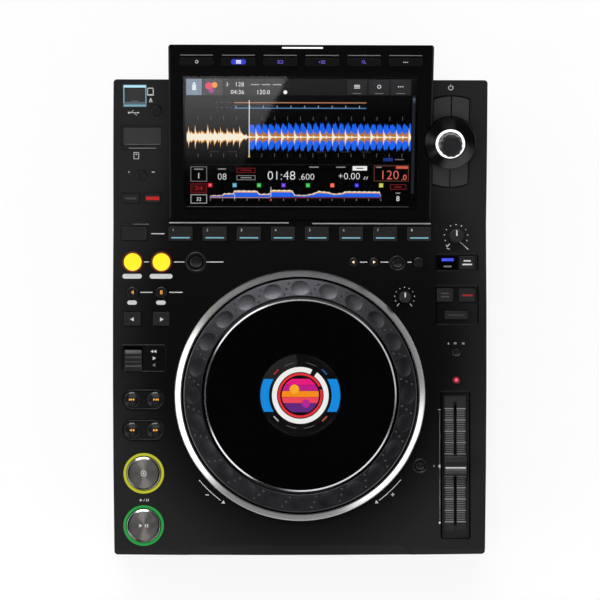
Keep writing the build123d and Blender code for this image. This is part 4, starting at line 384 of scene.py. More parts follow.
def lathe_group():
    """Turned metal: noise that changes only with the distance from the Centre gives fine rings,
    as a bumped normal and as a mask."""
    wants = (("Centre", "Vector"), ("Pitch", "Float", 3000.0), ("Depth", "Float", 0.2))
    tree, given, out = group_with("turned_rings", wants, (("Normal", "Vector"), ("Rings", "Float")))
    place = node(tree, "TexCoord").outputs["Object"]
    away = node(tree, "VectorMath", {0: place, 1: given["Centre"]}, "SUBTRACT")
    length = node(tree, "VectorMath", {0: away.outputs[0]}, "LENGTH")
    spread = node(tree, "Math", {0: length.outputs["Value"], 1: given["Pitch"]}, "MULTIPLY")
    noise = node(tree, "TexNoise")
    noise.noise_dimensions = "1D"
    fill(tree, noise, {"W": spread.outputs[0], "Scale": 1.0, "Detail": 3.0})
    bump = node(tree, "Bump", {
        "Height": noise.outputs["Fac"], "Strength": given["Depth"], "Distance": BUMP_HEIGHT})
    fill(tree, out, {"Normal": bump.outputs["Normal"], "Rings": noise.outputs["Fac"]})
    return tree


GRAIN, RINGS = grain_group(), lathe_group()


def shader_of(material):
    """The material's Principled shader."""
    return material.node_tree.nodes["Principled BSDF"]


def surface(name, **values):
    """A material with one Principled shader, whose inputs take the values."""
    material = bpy.data.materials.new(name)
    material.use_nodes = True
    inputs = {word.replace("_", " "): value for word, value in values.items()}
    fill(material.node_tree, shader_of(material), inputs)
    return material


def blend_colour(tree, factor, dark, light):
    """A colour between two by a mask."""
    mix = node(tree, "Mix")
    mix.data_type = "RGBA"
    fill(tree, mix, {"Factor": factor, "A": (*rgb(dark), 1.0), "B": (*rgb(light), 1.0)})
    return mix.outputs["Result"]


def worked(name, group, mask, sockets, dark, light, rough, **values):
    """A finish whose colour and roughness drift between two values by a group's mask, and whose
    normal is the group's too."""
    material = surface(name, **values)
    tree = material.node_tree
    used = node(tree, "Group")
    used.node_tree = group
    fill(tree, used, sockets)
    drift = used.outputs[mask]
    change = node(tree, "MapRange", {"Value": drift, "To Min": rough[0], "To Max": rough[1]})
    fill(tree, shader_of(material), {
        "Normal": used.outputs["Normal"], "Base Color": blend_colour(tree, drift, dark, light),
        "Roughness": change.outputs["Result"]})
    return material


def moulded(name, dark, light, rough, scale, depth, patch, **values):
    """A moulded or painted finish: a fine grain, with slow patches in its colour and roughness."""
    sockets = {"Scale": scale, "Depth": depth, "Patch": patch}
    return worked(name, GRAIN, "Rubbed", sockets, dark, light, rough, **values)


def spun(name, dark, light, centre, rough, pitch, depth, **values):
    """Metal turned about a centre: ring marks in its colour, roughness and normal."""
    sockets = {"Centre": centre, "Pitch": pitch, "Depth": depth}
    return worked(name, RINGS, "Rings", sockets, dark, light, rough, **{"Metallic": 1.0, **values})


def ink(name, dark, light):
    """Printing ink: matt, with a trace of grain."""
    return moulded(name, dark, light, (0.45, 0.6), 5000.0, 0.1, 300.0)


def lit(name, colour, strength=1.0, rough=0.3):
    """A translucent part with a lamp behind it."""
    return surface(
        name, Base_Color=(*(0.2 * part for part in colour), 1.0), Roughness=rough,
        Emission_Color=(*colour, 1.0), Emission_Strength=strength)


def tinted_light(name, strength):
    """Lit marks that take their colour from the piece's own tint."""
    material = surface(name, Base_Color=(0.0, 0.0, 0.0, 1.0), Roughness=0.5, Specular_IOR_Level=0.15,
                       Emission_Strength=strength)
    tint = node(material.node_tree, "Attribute")
    tint.attribute_name = "tint"
    fill(material.node_tree, shader_of(material), {"Emission Color": tint.outputs["Color"]})
    return material


def painted_sheen(material, dark, light):
    """A painted sheen: the base colour goes from dark in the deck's middle to light towards the outline, by
    the length of the object's own place over the half width and about the half depth. It stands in for the
    light's sheen towards the case's edges."""
    half_depth, back, start, stop = 200.0, 0.15, 0.72, 1.15
    tree = material.node_tree
    place = node(tree, "TexCoord").outputs["Object"]
    scale = (1 / (HALF_WIDTH * MM), 1 / (half_depth * MM), 0.0)
    share = node(tree, "VectorMath", {0: place, 1: scale, 2: (0.0, back, 0.0)}, "MULTIPLY_ADD")
    reach = node(tree, "VectorMath", {0: share.outputs[0]}, "LENGTH")
    ramp = ramped(tree, reach.outputs["Value"], start, stop)
    fill(tree, shader_of(material), {"Base Color": blend_colour(tree, ramp, dark, light)})
    return material


# The case's base colour is painted lighter towards its outline: a painted sheen, not a change in the paint.
CASE = painted_sheen(moulded("case_satin_painted_sheen", 0.01, 0.01, (0.28, 0.36), 2600.0, 0.12, 25.0, Specular_IOR_Level=0.15),
             (0.0024, 0.0024, 0.0025), (0.025, 0.025, 0.0255))
CHASSIS = moulded("chassis_paint", (0.012, 0.012, 0.013), (0.018, 0.018, 0.019), (0.38, 0.5), 1400.0, 0.2,
                  30.0)
HOUSING = moulded("housing_satin", (0.0016, 0.0016, 0.0020), (0.0032, 0.0032, 0.0038), (0.22, 0.3), 2600.0,
                  0.05, 25.0, Specular_IOR_Level=0.15)
GLOSS = moulded("gloss_black", (0.0010, 0.0010, 0.0012), (0.0018, 0.0018, 0.0021), (0.04, 0.07), 300.0, 0.01,
                12.0)
SELECTOR_CENTRE = tuple(SHOULDER.carry((0.0, 0.0, 8.0), *SELECTOR_AT))
TURRET = spun("turret_gloss", (0.003, 0.003, 0.0035), (0.006, 0.006, 0.0065), SELECTOR_CENTRE, (0.08, 0.16),
              2600.0, 0.3, Metallic=0.0)
KEY = moulded("key_satin", (0.008, 0.008, 0.009), (0.015, 0.015, 0.016), (0.38, 0.5), 4200.0, 0.12, 120.0,
              Specular_IOR_Level=0.35)
RUBBER = moulded("key_rubber", (0.009, 0.009, 0.010), (0.016, 0.016, 0.017), (0.42, 0.55), 5000.0, 0.2, 150.0,
                 Specular_IOR_Level=0.35)
DARK_KEY = moulded("dark_key", (0.003, 0.003, 0.0034), (0.006, 0.006, 0.0065), (0.3, 0.4), 5000.0, 0.1, 150.0,
                   Specular_IOR_Level=0.25)
SOFT = moulded("soft_key", (0.038, 0.038, 0.039), (0.052, 0.052, 0.053), (0.5, 0.6), 5000.0, 0.3, 150.0,
               Specular_IOR_Level=0.3)
FOOT = moulded("foot_rubber", 0.010, 0.018, (0.6, 0.8), 1800.0, 0.4, 60.0)
KNOB = moulded("knob_satin", (0.012, 0.012, 0.014), (0.022, 0.022, 0.025), (0.28, 0.4), 4200.0, 0.12, 150.0)
DOME = moulded("dome_black", (0.010, 0.010, 0.012), (0.018, 0.018, 0.021), (0.12, 0.2), 4200.0, 0.05, 150.0)
GUARD = moulded("guard_gloss", (0.006, 0.006, 0.007), (0.011, 0.011, 0.012), (0.2, 0.3), 3000.0, 0.05, 60.0)
BOARD = moulded("board_lacquer", (0.01, 0.07, 0.03), (0.02, 0.11, 0.05), (0.25, 0.4), 900.0, 0.1, 60.0)
FRAME = moulded("cast_frame", 0.05, 0.09, (0.5, 0.65), 1200.0, 0.4, 60.0, Metallic=1.0)
PLATED = moulded("plated_steel", (0.45, 0.45, 0.46), (0.62, 0.62, 0.63), (0.22, 0.34), 800.0, 0.05, 80.0,
                 Metallic=1.0)
GOLD = moulded("gold_plate", (0.75, 0.52, 0.20), (0.85, 0.62, 0.28), (0.18, 0.3), 800.0, 0.04, 80.0,
               Metallic=1.0)
SOCKET = moulded("socket_black", 0.012, 0.02, (0.35, 0.5), 3000.0, 0.1, 100.0)
BUSH = moulded("bush_nylon", (0.6, 0.58, 0.52), (0.7, 0.68, 0.62), (0.4, 0.5), 1500.0, 0.1, 60.0)
JOG_CENTRE = (0.0, JOG_AT[1] * MM, (DECK_TOP + 9.0) * MM)
RING = spun("ring_metal", 0.50, 0.60, JOG_CENTRE, (0.18, 0.26), 2600.0, 0.06)
BEVEL = spun("bevel_metal", (0.50, 0.50, 0.52), (0.70, 0.70, 0.72), JOG_CENTRE, (0.12, 0.2), 2600.0, 0.05)
DIAL = moulded("dial_metallic", (0.070, 0.070, 0.078), (0.100, 0.100, 0.110), (0.28, 0.38), 3000.0, 0.14,
               60.0, Metallic=1.0)
FADER_STRIP = moulded("fader_strip", 0.013, 0.019, (0.42, 0.55), 4200.0, 0.1, 120.0)
LCD = moulded("screen_panel", (0.0004, 0.0004, 0.0005), (0.0007, 0.0007, 0.0009), (0.5, 0.6), 300.0, 0.01,
              12.0, Specular_IOR_Level=0.05)
DISPLAY = moulded("centre_panel", 0.002, 0.003, (0.2, 0.3), 600.0, 0.02, 40.0)

PRINT = ink("white_print", 0.84, 0.91)
FADER_PRINT = ink("fader_print", 0.34, 0.42)
FAINT = ink("grey_print", 0.20, 0.26)
FADER_FAINT = ink("fader_faint_print", 0.15, 0.20)
DIM = ink("dim_print", 0.065, 0.09)
DIM_KEY = ink("dim_key_print", 0.05, 0.07)

CLEAR = surface("clear_window", Base_Color=(1.0, 1.0, 1.0, 1.0), Roughness=0.02, IOR=1.3,
                Transmission_Weight=1.0)
GLASS = surface("screen_glass", Base_Color=(1.0, 1.0, 1.0, 1.0), Roughness=0.015, IOR=1.45,
                Transmission_Weight=1.0)
LIGHT_MARK = tinted_light("lit_marks", 1.0)
CYAN_LIGHT = lit("pad_light", (0.17, 0.40, 0.50))
USB_TOP = lit("usb_top", (0.42, 0.72, 0.85))
USB_LIGHT = lit("usb_light", (0.22, 0.42, 0.52), 0.8)
USB_EDGE = lit("usb_edge", (0.10, 0.14, 0.17), 0.8)
WHITE_LIGHT = lit("white_light", (1.0, 1.0, 1.0), 1.15)
CUE_LIGHT = lit("cue_light", (0.50, 0.50, 0.03), 0.85)
PLAY_LIGHT = lit("play_light", (0.02, 0.30, 0.05), 0.9)
LOOP_LIGHT = lit("loop_light", (1.0, 0.80, 0.02))
# A painted glow for the case round the lit loop buttons: the case holds no lamp there.
PAINTED_LOOP_GLOW = lit("loop_painted_glow", (0.16, 0.006, 0.006), 0.8)
RED_LIGHT = lit("red_light", (0.42, 0.012, 0.012), rough=0.4)
RED_GLOW = lit("red_glow", (0.22, 0.006, 0.012))
DIM_RED = lit("dim_red", (0.30, 0.02, 0.015), 0.8)
PINK_LIGHT = lit("pink_light", (0.90, 0.10, 0.16), rough=0.4)
AMBER_LIGHT = lit("amber_light", (1.0, 0.42, 0.06), 1.1)
VIOLET_LIGHT = lit("menu_light", (0.16, 0.10, 0.55))
BLUE_LIGHT = lit("blue_light", (0.03, 0.05, 0.55))
MODE_LIGHT = lit("jog_mode_light", (0.05, 0.08, 0.75))


# ---- Jog dial ------------------------------------------------------------------------------------
DIMPLES = 24
DIMPLE_AT, DIMPLE_ALONG, DIMPLE_ACROSS, DIMPLE_DEPTH = 94.6, 8.1, 6.4, 0.6


def dimpled(angle, radius, height):
    """Every fifteen degrees the band sinks by depth times (1 - q) to the power 0.9, where q is the
    squared distance from the dimple's middle over its half length and half width."""
    under_band = 9.0
    pitch = 2 * math.pi / DIMPLES
    away = (angle + pitch / 2) % pitch - pitch / 2
    q = (away * radius / DIMPLE_ALONG) ** 2 + ((radius - DIMPLE_AT) / DIMPLE_ACROSS) ** 2
    sink = DIMPLE_DEPTH * np.clip(1.0 - q, 0.0, 1.0) ** 0.9
    return radius, np.where(height > under_band, height - sink, height)


BAND_OUT, BAND_IN = (102.0, 11.1), (87.9, 13.94)
dial_profile = np.concatenate((
    [(15.05, -15.8), (20.05, -15.8), (20.05, 0.0), (102.6, 0.0), (103.0, 0.4), (103.0, 9.6)],
    [(102.9, 10.2), (102.6, 10.7)], np.linspace(BAND_OUT, BAND_IN, 52),
    [(87.5, 13.94), (87.25, 13.74), (87.2, 13.3), (87.2, 3.0), (15.05, 3.0)]))
settle(turned("jog_dial_body", dial_profile, DECK, JOG_AT, DIAL, 1080, dimpled, True, 50.0),
       "jog_dial", "dial_metal", "jog_dial")


def studs(name, places, panel, at, radius, rise, material):
    """Small domes: rings of radius r cos t at height rise sin t about each place (x, y, z)."""
    sides = 12
    ring = disc(0.0, 0.0, 1.0, sides)
    tilt = np.radians(np.array((-20.0, 0.0, 30.0, 60.0)))
    points, faces = [], []
    for place in places:
        base = len(points) * (len(tilt) * sides + 1)
        dome = [level(ring * radius * math.cos(t), rise * math.sin(t)) for t in tilt]
        points.append(np.concatenate(dome + [np.array([(0.0, 0.0, rise)])]) + place)
        faces += [[base + i for i in side] for side in grid_faces(len(tilt), sides, False, True)]
        top = base + (len(tilt) - 1) * sides
        faces += [[top + i, top + (i + 1) % sides, top + sides] for i in range(sides)]
        faces.append([base + i for i in range(sides)][::-1])
    return piece(name, panel.carry(np.concatenate(points), *at), faces, material, 70.0)


STUD_FOOT, BAND_SLOPE = 13.5, 0.202
stud_places = []
for number in range(DIMPLES):
    for radius, offset in ((98.8, -1.7), (94.3, 0.0), (89.9, 1.6)):
        angle = math.radians((number + 0.5) * 360.0 / DIMPLES + offset)
        foot = STUD_FOOT - BAND_SLOPE * (radius - 90.1)
        stud_places.append((radius * math.cos(angle), radius * math.sin(angle), foot))
settle(studs("jog_dial_studs", stud_places, DECK, JOG_AT, 1.15, 0.85, DIAL), "jog_dial", "dial_metal")

for name, profile, material, smooth, nodes in (
        ("jog_plate_disc", [(36.6, 12.4), (83.0, 12.4), (83.1, 14.6), (36.6, 14.6)], GLOSS, 35.0,
         ("jog_plate",)),
        ("jog_plate_bevel", [(83.1, 12.4), (84.6, 12.4), (84.6, 13.95), (83.3, 14.6), (83.1, 14.6)], BEVEL,
         20.0, ()),
        ("jog_plate_lip", [(84.6, 12.4), (86.4, 12.4), (86.6, 12.6), (86.6, 13.3), (86.4, 13.5),
                           (84.6, 13.7)],
         GLOSS, 20.0, ())):
    settle(turned(name, profile, DECK, JOG_AT, material, 360, None, True, smooth), "jog_plate",
           "plate_gloss", *nodes)
window_profile = [(0.0, 12.4), (36.5, 12.4), (36.5, 14.55), (0.0, 14.55)]
settle(turned("jog_plate_window", window_profile, DECK, JOG_AT, CLEAR, 180), "jog_plate", "plate_gloss")
ring_profile = [
    (104.6, 0.0), (111.0, 0.0), (111.0, 3.6), (110.85, 4.1), (110.5, 4.6), (109.6, 5.35), (107.6, 6.85),
    (105.7, 8.27), (104.75, 8.3), (104.6, 8.15)]
settle(turned("jog_ring", ring_profile, DECK, JOG_AT, RING, 360, None, True, 28.0),
       "case", "ring_metal", "jog_trim_ring")

# The still display in the dial's middle.
CENTRE_LOW, CENTRE_HIGH = 11.36, 11.46
WHITE, RED, BLUE = (0.86, 0.86, 0.84), (0.72, 0.03, 0.04), (0.006, 0.25, 0.74)
MAGENTA, ORANGE, PURPLE = (0.80, 0.01, 0.20), (0.92, 0.26, 0.01), (0.12, 0.02, 0.20)


def tab(side):
    """The part of a ring within a height either side of the middle: outer arc, then inner arc."""
    top, inner_radius, outer_radius = 14.4, 27.6, 35.2
    edges = []
    for radius, way in ((outer_radius, 1.0), (inner_radius, -1.0)):
        angle = np.radians(np.linspace(-way, way, 14) * math.degrees(math.asin(top / radius)))
        edges.append(np.stack((radius * np.cos(angle) * side, radius * np.sin(angle)), -1))
    return np.concatenate(edges)[::side]


def chord(inner, outer, radius):
    """The slice of a disc between two levels across it: both edges and the arcs that join them."""
    angle = np.linspace(math.asin(inner / radius), math.asin(outer / radius), 12)
    right = np.stack((radius * np.cos(angle), radius * np.sin(angle)), -1)
    return np.concatenate((right, right[::-1] * (-1.0, 1.0)))


def spoke(angle):
    """A short bar across the line from the middle, at an angle."""
    reach, turn = 29.6, math.radians(angle)
    return bar(reach * math.cos(turn), reach * math.sin(turn), 6.0, 1.3, math.degrees(turn) + 90.0)


centre_base = [(arc(0, 0, 25.4, 36.2, 158.0, 456.0, 80), (0.0015, 0.0015, 0.002)),
               (arc(0, 0, 25.4, 36.2, 96.0, 158.0, 20), 0.014)]
centre_marks = coloured(0.16, [arc(0, 0, 28.9, 29.3, a, a + 18.0) for a in (101.0, 61.0, 245.0, 277.0)])
centre_marks += coloured(0.03, [arc(0, 0, 34.6, 34.9, a, a + 38.0) for a in (36.0, 106.0, 216.0, 286.0)])
centre_marks += [(spoke(44), (0.03, 0.10, 0.34)), (spoke(136), (0.36, 0.02, 0.03)), (spoke(224), 0.42),
                 (spoke(316), (0.42, 0.09, 0.05))]
centre_marks += [(arc(0, 0, 20.6, 25.0, 65.0, 414.0, 90), WHITE),
                 (arc(0, 0, 17.7, 19.8, 25.0, 376.0, 90), RED)]
SLICES = ((9.4, 14.6, MAGENTA), (4.0, 9.2, (0.50, 0.01, 0.24)), (-1.4, 3.8, ORANGE),
          (-6.8, -1.6, (0.85, 0.06, 0.10)), (-14.8, -7.0, PURPLE))
centre_spots = [(disc(-5.2, 5.4, 4.2), (0.95, 0.40, 0.02)), (disc(4.8, -7.2, 3.6), (0.45, 0.02, 0.30))]
for name, marks, over in (
        ("base", centre_base, 0.0), ("rings", centre_marks, 0.03),
        ("tabs", coloured(BLUE, [tab(1), tab(-1)]), 0.06),
        ("bands", [(chord(low, high, 16.3), colour) for low, high, colour in SLICES], 0.0),
        ("spots", centre_spots, 0.06)):
    marked("centre_display_" + name, DECK, JOG_AT, marks, LIGHT_MARK, "case", "centre_panel",
           (CENTRE_LOW, CENTRE_HIGH + over), True)


# ---- Selector ------------------------------------------------------------------------------------
turret_profile = [
    (17.0, -3.0), (20.2, -3.0), (20.2, -1.0), (22.7, -1.0), (23.0, -0.7), (23.0, 4.6), (22.9, 5.2),
    (22.4, 5.8), (14.3, 7.8), (13.7, 8.0), (13.0, 8.0), (13.0, 5.0), (8.7, 5.0), (8.7, -3.0)]
settle(turned("selector_turret_body", turret_profile, SHOULDER, SELECTOR_AT, TURRET, ROUND, None, True),
       "case", "turret_gloss", "selector_turret")
halo_profile = [(10.7, 5.0), (12.8, 5.0), (12.8, 8.0), (12.6, 8.25), (10.9, 8.25), (10.7, 8.05)]
settle(turned("selector_light", halo_profile, SHOULDER, SELECTOR_AT, WHITE_LIGHT, ROUND, None, True),
       "case", "guide_clear")


def fluted(angle, radius, height):
    """Twelve shallow flutes: the radius is drawn in by a share of (1 + cos 12a) / 2 on the side."""
    depth = 0.55 * (0.5 + 0.5 * np.cos(12 * angle)) * (radius > 7.4)
    return radius - depth, height


knob_profile = eased([(0.0, 7.0), (10.1, 7.0), (10.2, 7.3), (10.1, 18.6), (9.0, 20.6), (7.6, 21.0),
                      (0.0, 20.4)], 0.4)
settle(turned("selector_cap", knob_profile, SHOULDER, SELECTOR_AT, KNOB, 360, fluted, False, 50.0),
       "selector_knob", "plate_gloss", "selector_knob")


# ---- Transport buttons and their lights ----------------------------------------------------------
cap_profile = [(0.0, SEAT), (14.6, SEAT), (14.7, -3.1), (14.7, 1.0), (12.9, 1.0), (12.9, 2.3), (12.5, 2.33),
               (6.0, 2.22), (1.5, 2.2), (0.0, 2.2)]
rim_profile = [(12.9, 1.0), (14.7, 1.0), (14.7, 1.3), (14.62, 1.75), (14.4, 2.04), (14.3, 2.077),
               (13.1, 2.523), (12.9, 2.6)]
light_profile = [(15.5, -3.0), (17.8, -3.0), (17.8, 0.2), (17.5, 0.48), (15.8, 0.48), (15.5, 0.2)]
for word, row, glow, sign in (
        ("cue", CUE_Y, CUE_LIGHT, [arc(0, 0, 2.0, 2.6, 0.0, 359.9, 48), bar(0.0, 0.0, 1.6, 1.6, 45.0)]),
        ("play", PLAY_Y, PLAY_LIGHT,
         [arrow(-2.9, 0.0, 1.9)] + bars((1.7, 0.0, 1.0, 2.9), (3.6, 0.0, 1.0, 2.9)))):
    place, owner = (TRANSPORT_X, row), (word + "_button", "button_metal")
    metal = spun(word + "_metal", (0.20, 0.188, 0.18), (0.40, 0.38, 0.365),
                 tuple(DECK.carry((0, 0, 2.5), *place)), (0.42, 0.5), 4200.0, 0.1, Anisotropic=0.95,
                 Anisotropic_Rotation=0.25)
    settle(turned(word + "_cap", cap_profile, DECK, place, metal), *owner, owner[0])
    settle(turned(word + "_rim", rim_profile, DECK, place, BEVEL, ROUND, None, True, 60.0), *owner)
    settle(turned(word + "_light", light_profile, DECK, place, glow, ROUND, None, True), "case",
           "guide_clear")
    marked(word + "_sign", DECK, place, sign, PRINT, *owner, (2.1, 2.30))


# ---- Round buttons -------------------------------------------------------------------------------
def button(name, panel, at, radius, material, body, slot, first=True, rise=1.2, crown=-0.25, lift=0.0):
    """Stem, flange, straight sides, a soft edge, then a face that bulges: rise + crown (1 - q^2).
    The first button of a body stands for its CAD node. lift shortens the stem."""
    q = np.linspace(1.0, 0.0, 7)[1:]
    stem, brim, foot = STEM / 2, radius + FLANGE, STEM_FOOT + lift
    side = [(0.0, foot), (stem, foot), (stem, SEAT - FLANGE), (brim, SEAT - FLANGE), (brim, SEAT),
            (radius, SEAT), (radius, rise - 0.5), (radius - 0.12, rise - 0.18), (radius - 0.4, rise)]
    face = np.stack(((radius - 0.4) * q, rise + crown * (1.0 - q ** 2)), -1)
    nodes = (body,) if first else ()
    settle(turned(name, np.concatenate((side, face)), panel, at, material, 72), body, slot, *nodes)


LOOP_Y, BEAT_Y = 36.4, 9.4
LEFT_X, RIGHT_X = -148.1, -122.7
DELETE_AT, RELOOP_AT, RESET_AT = (86.3, LOOP_Y - 0.9), (-92.0, LOOP_Y), (106.2, -144.1)
MASTER_TEMPO_AT = (138.5, -68.0)
for word, place, radius, material, slot, crown in (
        ("loop_in", (LEFT_X, LOOP_Y), 7.5, LOOP_LIGHT, "key_yellow", -0.25),
        ("loop_out", (RIGHT_X, LOOP_Y), 7.5, LOOP_LIGHT, "key_yellow", -0.25),
        ("reloop", RELOOP_AT, 5.1, DOME, "key_grey", -0.25),
        ("delete", DELETE_AT, 4.2, DOME, "key_grey", -0.25),
        ("memory", (104.9, LOOP_Y), 4.2, DOME, "key_grey", 0.0),
        ("tempo_reset", RESET_AT, 3.6, DOME, "key_grey", -0.25),
        ("tempo_range", (138.5, -43.7), 3.8, DOME, "key_grey", -0.25),
        ("master_tempo", MASTER_TEMPO_AT, 3.6, DOME, "key_grey", -0.25)):
    button(word + "_cap", DECK, place, radius, material, word + "_button", slot, crown=crown)
for word, mark, material, top in (
        ("rim", arc(0, 0, 1.5, 2.8, 0.0, 359.9, 48), RED_GLOW, 1.24),
        ("light", disc(0, 0, 1.5, 40), PINK_LIGHT, 1.26)):
    marked("master_tempo_" + word, DECK, MASTER_TEMPO_AT, [mark], material, "master_tempo_button",
           "key_lit_red", (0.8, top))

skip_back = [bar(-2.5, 0.0, 0.6, 2.0), arrow(-1.0, 0.0, 1.2, 180.0), arrow(1.2, 0.0, 1.2, 180.0)]
wind_back = [arrow(-1.1, 0.0, 1.3, 180.0), arrow(1.2, 0.0, 1.3, 180.0)]
for x, name, figure in ((LEFT_X, "four", "4"), (RIGHT_X, "eight", "8")):
    button(f"beat_loop_{name}_cap", DECK, (x, BEAT_Y), 5.0, DOME, "beat_loop_buttons", "key_grey",
           name == "four", crown=0.0)
    marked(f"beat_loop_{name}_figure", DECK, (x, 9.3), [(figure, 0.0, 0.0, 5.2)], AMBER_LIGHT,
           "beat_loop_buttons", "key_grey", (0.8, 1.24))
for x, way, heading in ((47.4, "back", 180.0), (65.5, "forward", 0.0)):
    button(f"cue_call_{way}_cap", DECK, (x, LOOP_Y), 4.0, DOME, "cue_call_buttons", "key_black",
           way == "back", crown=0.0)
    marked(f"cue_call_{way}_sign", DECK, (x, LOOP_Y), [arrow(0.0, 0.0, 1.5, heading)],
           lit(f"cue_call_{way}_light", (1.0, 0.78, 0.45), 1.2), "cue_call_buttons", "key_black", (0.9, 1.24))
for word, row, sign in (("track", -85.3, skip_back), ("search", -112.3, wind_back)):
    for way, x, flip in (("back", -148.2, 1), ("forward", -127.8, -1)):
        owner = (f"{word}_{way}_button", "key_black")
        button(f"{word}_{way}_cap", DECK, (x, row), 7.0, DOME, *owner, rise=0.4, crown=1.1)
        shown = [(mark * (flip, 1.0))[::flip] for mark in sign]
        marked(f"{word}_{way}_sign", DECK, (x, row), shown, AMBER_LIGHT, *owner, (1.2, 1.56))
for word, x, up in (("usb_stop", -126.9, 101.8), ("time_mode", -140.2, 44.0)):
    button(word + "_cap", SHOULDER, (x, up), 4.4, KEY, word + "_button", "key_black", crown=-0.3)


def guard(name, at, inner, outer, material=GUARD, height=0.5):
    """A low ring round a button: flat foot, rounded crest."""
    middle = (inner + outer) / 2
    profile = [(inner, -0.02), (outer, -0.02), (outer, 0.05), (outer - 0.25, height * 0.8), (middle, height),
               (inner + 0.3, height * 0.6), (inner, 0.1)]
    settle(turned(name, profile, DECK, at, material, 96, None, True, 60.0), "case", "case_black")


# Painted glow: dim red glowing rings on the case round the loop buttons stand for their light spilling onto
# the panel.
guard("loop_in_painted_glow", (LEFT_X, LOOP_Y), 7.9, 9.2, PAINTED_LOOP_GLOW, 0.3)
guard("loop_out_painted_glow", (RIGHT_X, LOOP_Y), 7.9, 9.2, PAINTED_LOOP_GLOW, 0.3)
guard("reloop_guard", RELOOP_AT, 7.0, 9.2)
guard("delete_guard", DELETE_AT, 5.2, 6.8)
guard("tempo_reset_guard", RESET_AT, 4.9, 6.6)


def edging(name, middle, outer, corner, width=0.9, height=0.22, material=GUARD):
    """A low rim round a group of controls: a flat section that follows a rounded outline."""
    section = [(0.0, -0.02), (0.0, height * 0.6), (width * 0.3, height), (width * 0.7, height),
               (width, height * 0.6), (width, -0.02)]
    rings = [level(rounded_outline(outer[0] - 2 * inset, outer[1] - 2 * inset, corner - inset), z)
             for inset, z in section]
    settle(looped(name, rings, DECK, middle, material, 50.0), "case", "case_black")


edging("track_search_rim", (-138.0, -85.3), (37.6, 17.4), 8.6)
edging("search_rim", (-138.0, -112.3), (37.6, 17.4), 8.6)
edging("direction_rim", (-138.4, -48.9), (39.8, 24.2), 2.4)
edging("fader_rim", (137.7, -143.3), (26.6, 131.0), 2.4, 1.3, 0.12, GLOSS)
edging("mode_rim", (139.4, 36.0), (37.8, 15.6), 1.2, 0.8, 0.12, GLOSS)
edging("sync_rim", (139.6, -1.6), (37.8, 35.6), 1.6, 0.9, 0.12, GLOSS)


# ---- Small knobs ---------------------------------------------------------------------------------
def knurled(angle, radius, height):
    """Fine flutes round the skirt: the radius shrinks by a share of (1 + cos 18a) / 2."""
    return radius - 0.3 * (0.5 + 0.5 * np.cos(18 * angle)) * (radius > 4.0) * (height < 8.4), height


for word, place, radius in (("jog_adjust", JOG_KNOB_AT, 5.6), ("vinyl_speed", SPEED_KNOB_AT, 6.6)):
    profile = [(0.0, 0.5), (radius, 0.5), (radius, 1.4), (radius - 0.25, 2.0), (radius - 0.6, 8.2),
               (radius - 0.9, 8.8), (radius - 1.4, 9.0), (0.0, 8.8)]
    owner = (word + "_knob", "key_black")
    settle(turned(word + "_cap", eased(profile, 0.2), DECK, place, KNOB, 216, knurled, False, 50.0), *owner,
           owner[0])
    marked(word + "_pointer", DECK, place, bars((0.0, radius / 2 - 0.9, 1.3, radius - 1.2)), PRINT, *owner,
           (8.7, 8.98))


# ---- Keys ----------------------------------------------------------------------------------------
def key(name, panel, at, size, material, body, slot, first=True, seat=SEAT, top=1.2, edge=0.5):
    """A key whose cap is size wide and long. The first key of a body stands for its CAD node."""
    rings = key_rings(*size, top, seat, edge, 0.12)
    nodes = (body,) if first else ()
    settle(stacked(name, rings, panel, at, material, 40.0), body, slot, *nodes)


PAD_XS = [30.2 * (number - 3.5) for number in range(8)]
PAD_Y = 61.4
PADS = ("hot_cue_keys", "key_rubber")
for number, x in enumerate(PAD_XS):
    key(f"hot_cue_cap_{number + 1}", DECK, (x, PAD_Y), (21.2, 12.8), RUBBER, *PADS, number == 0, top=1.8)
marked("hot_cue_lights", DECK, (0.0, PAD_Y), [bar(x, -3.6, 16.4, 1.1) for x in PAD_XS], CYAN_LIGHT, *PADS,
       (1.4, 1.86))
marked("hot_cue_numbers", DECK, (0.0, PAD_Y), [(str(n + 1), x - 6.6, 3.2, 3.2) for n, x in enumerate(PAD_XS)],
       PRINT, *PADS, (1.5, 1.84))
JUMP_Y, SYNC_Y, MODE_Y = -14.0, 7.2, 36.0
QUANTIZE_AT, SLIP_AT = (-130.3, 23.4), (-149.7, 23.4)
for word, panel, place, size, slot in (
        ("beat_jump_back", DECK, (LEFT_X, JUMP_Y), (14.6, 12.4), "key_rubber"),
        ("beat_jump_forward", DECK, (RIGHT_X, JUMP_Y), (14.6, 12.4), "key_rubber"),
        ("call_delete", DECK, (-146.4, PAD_Y), (22.1, 12.0), "key_rubber"),
        ("jog_mode", DECK, (148.3, MODE_Y), (13.3, 12.0), "key_rubber"),
        ("beat_sync", DECK, (128.65, SYNC_Y), (14.4, 12.0), "key_rubber"),
        ("master", DECK, (148.35, SYNC_Y), (14.4, 12.0), "key_rubber"),
        ("key_sync", DECK, (138.5, -10.5), (20.4, 7.6), "key_rubber"),
        ("slip", SHOULDER, SLIP_AT, (15.4, 8.2), "key_rubber"),
        ("quantize", SHOULDER, QUANTIZE_AT, (14.1, 8.2), "key_lit_red")):
    key(word + "_cap", panel, place, size, RUBBER, word + "_key", slot)
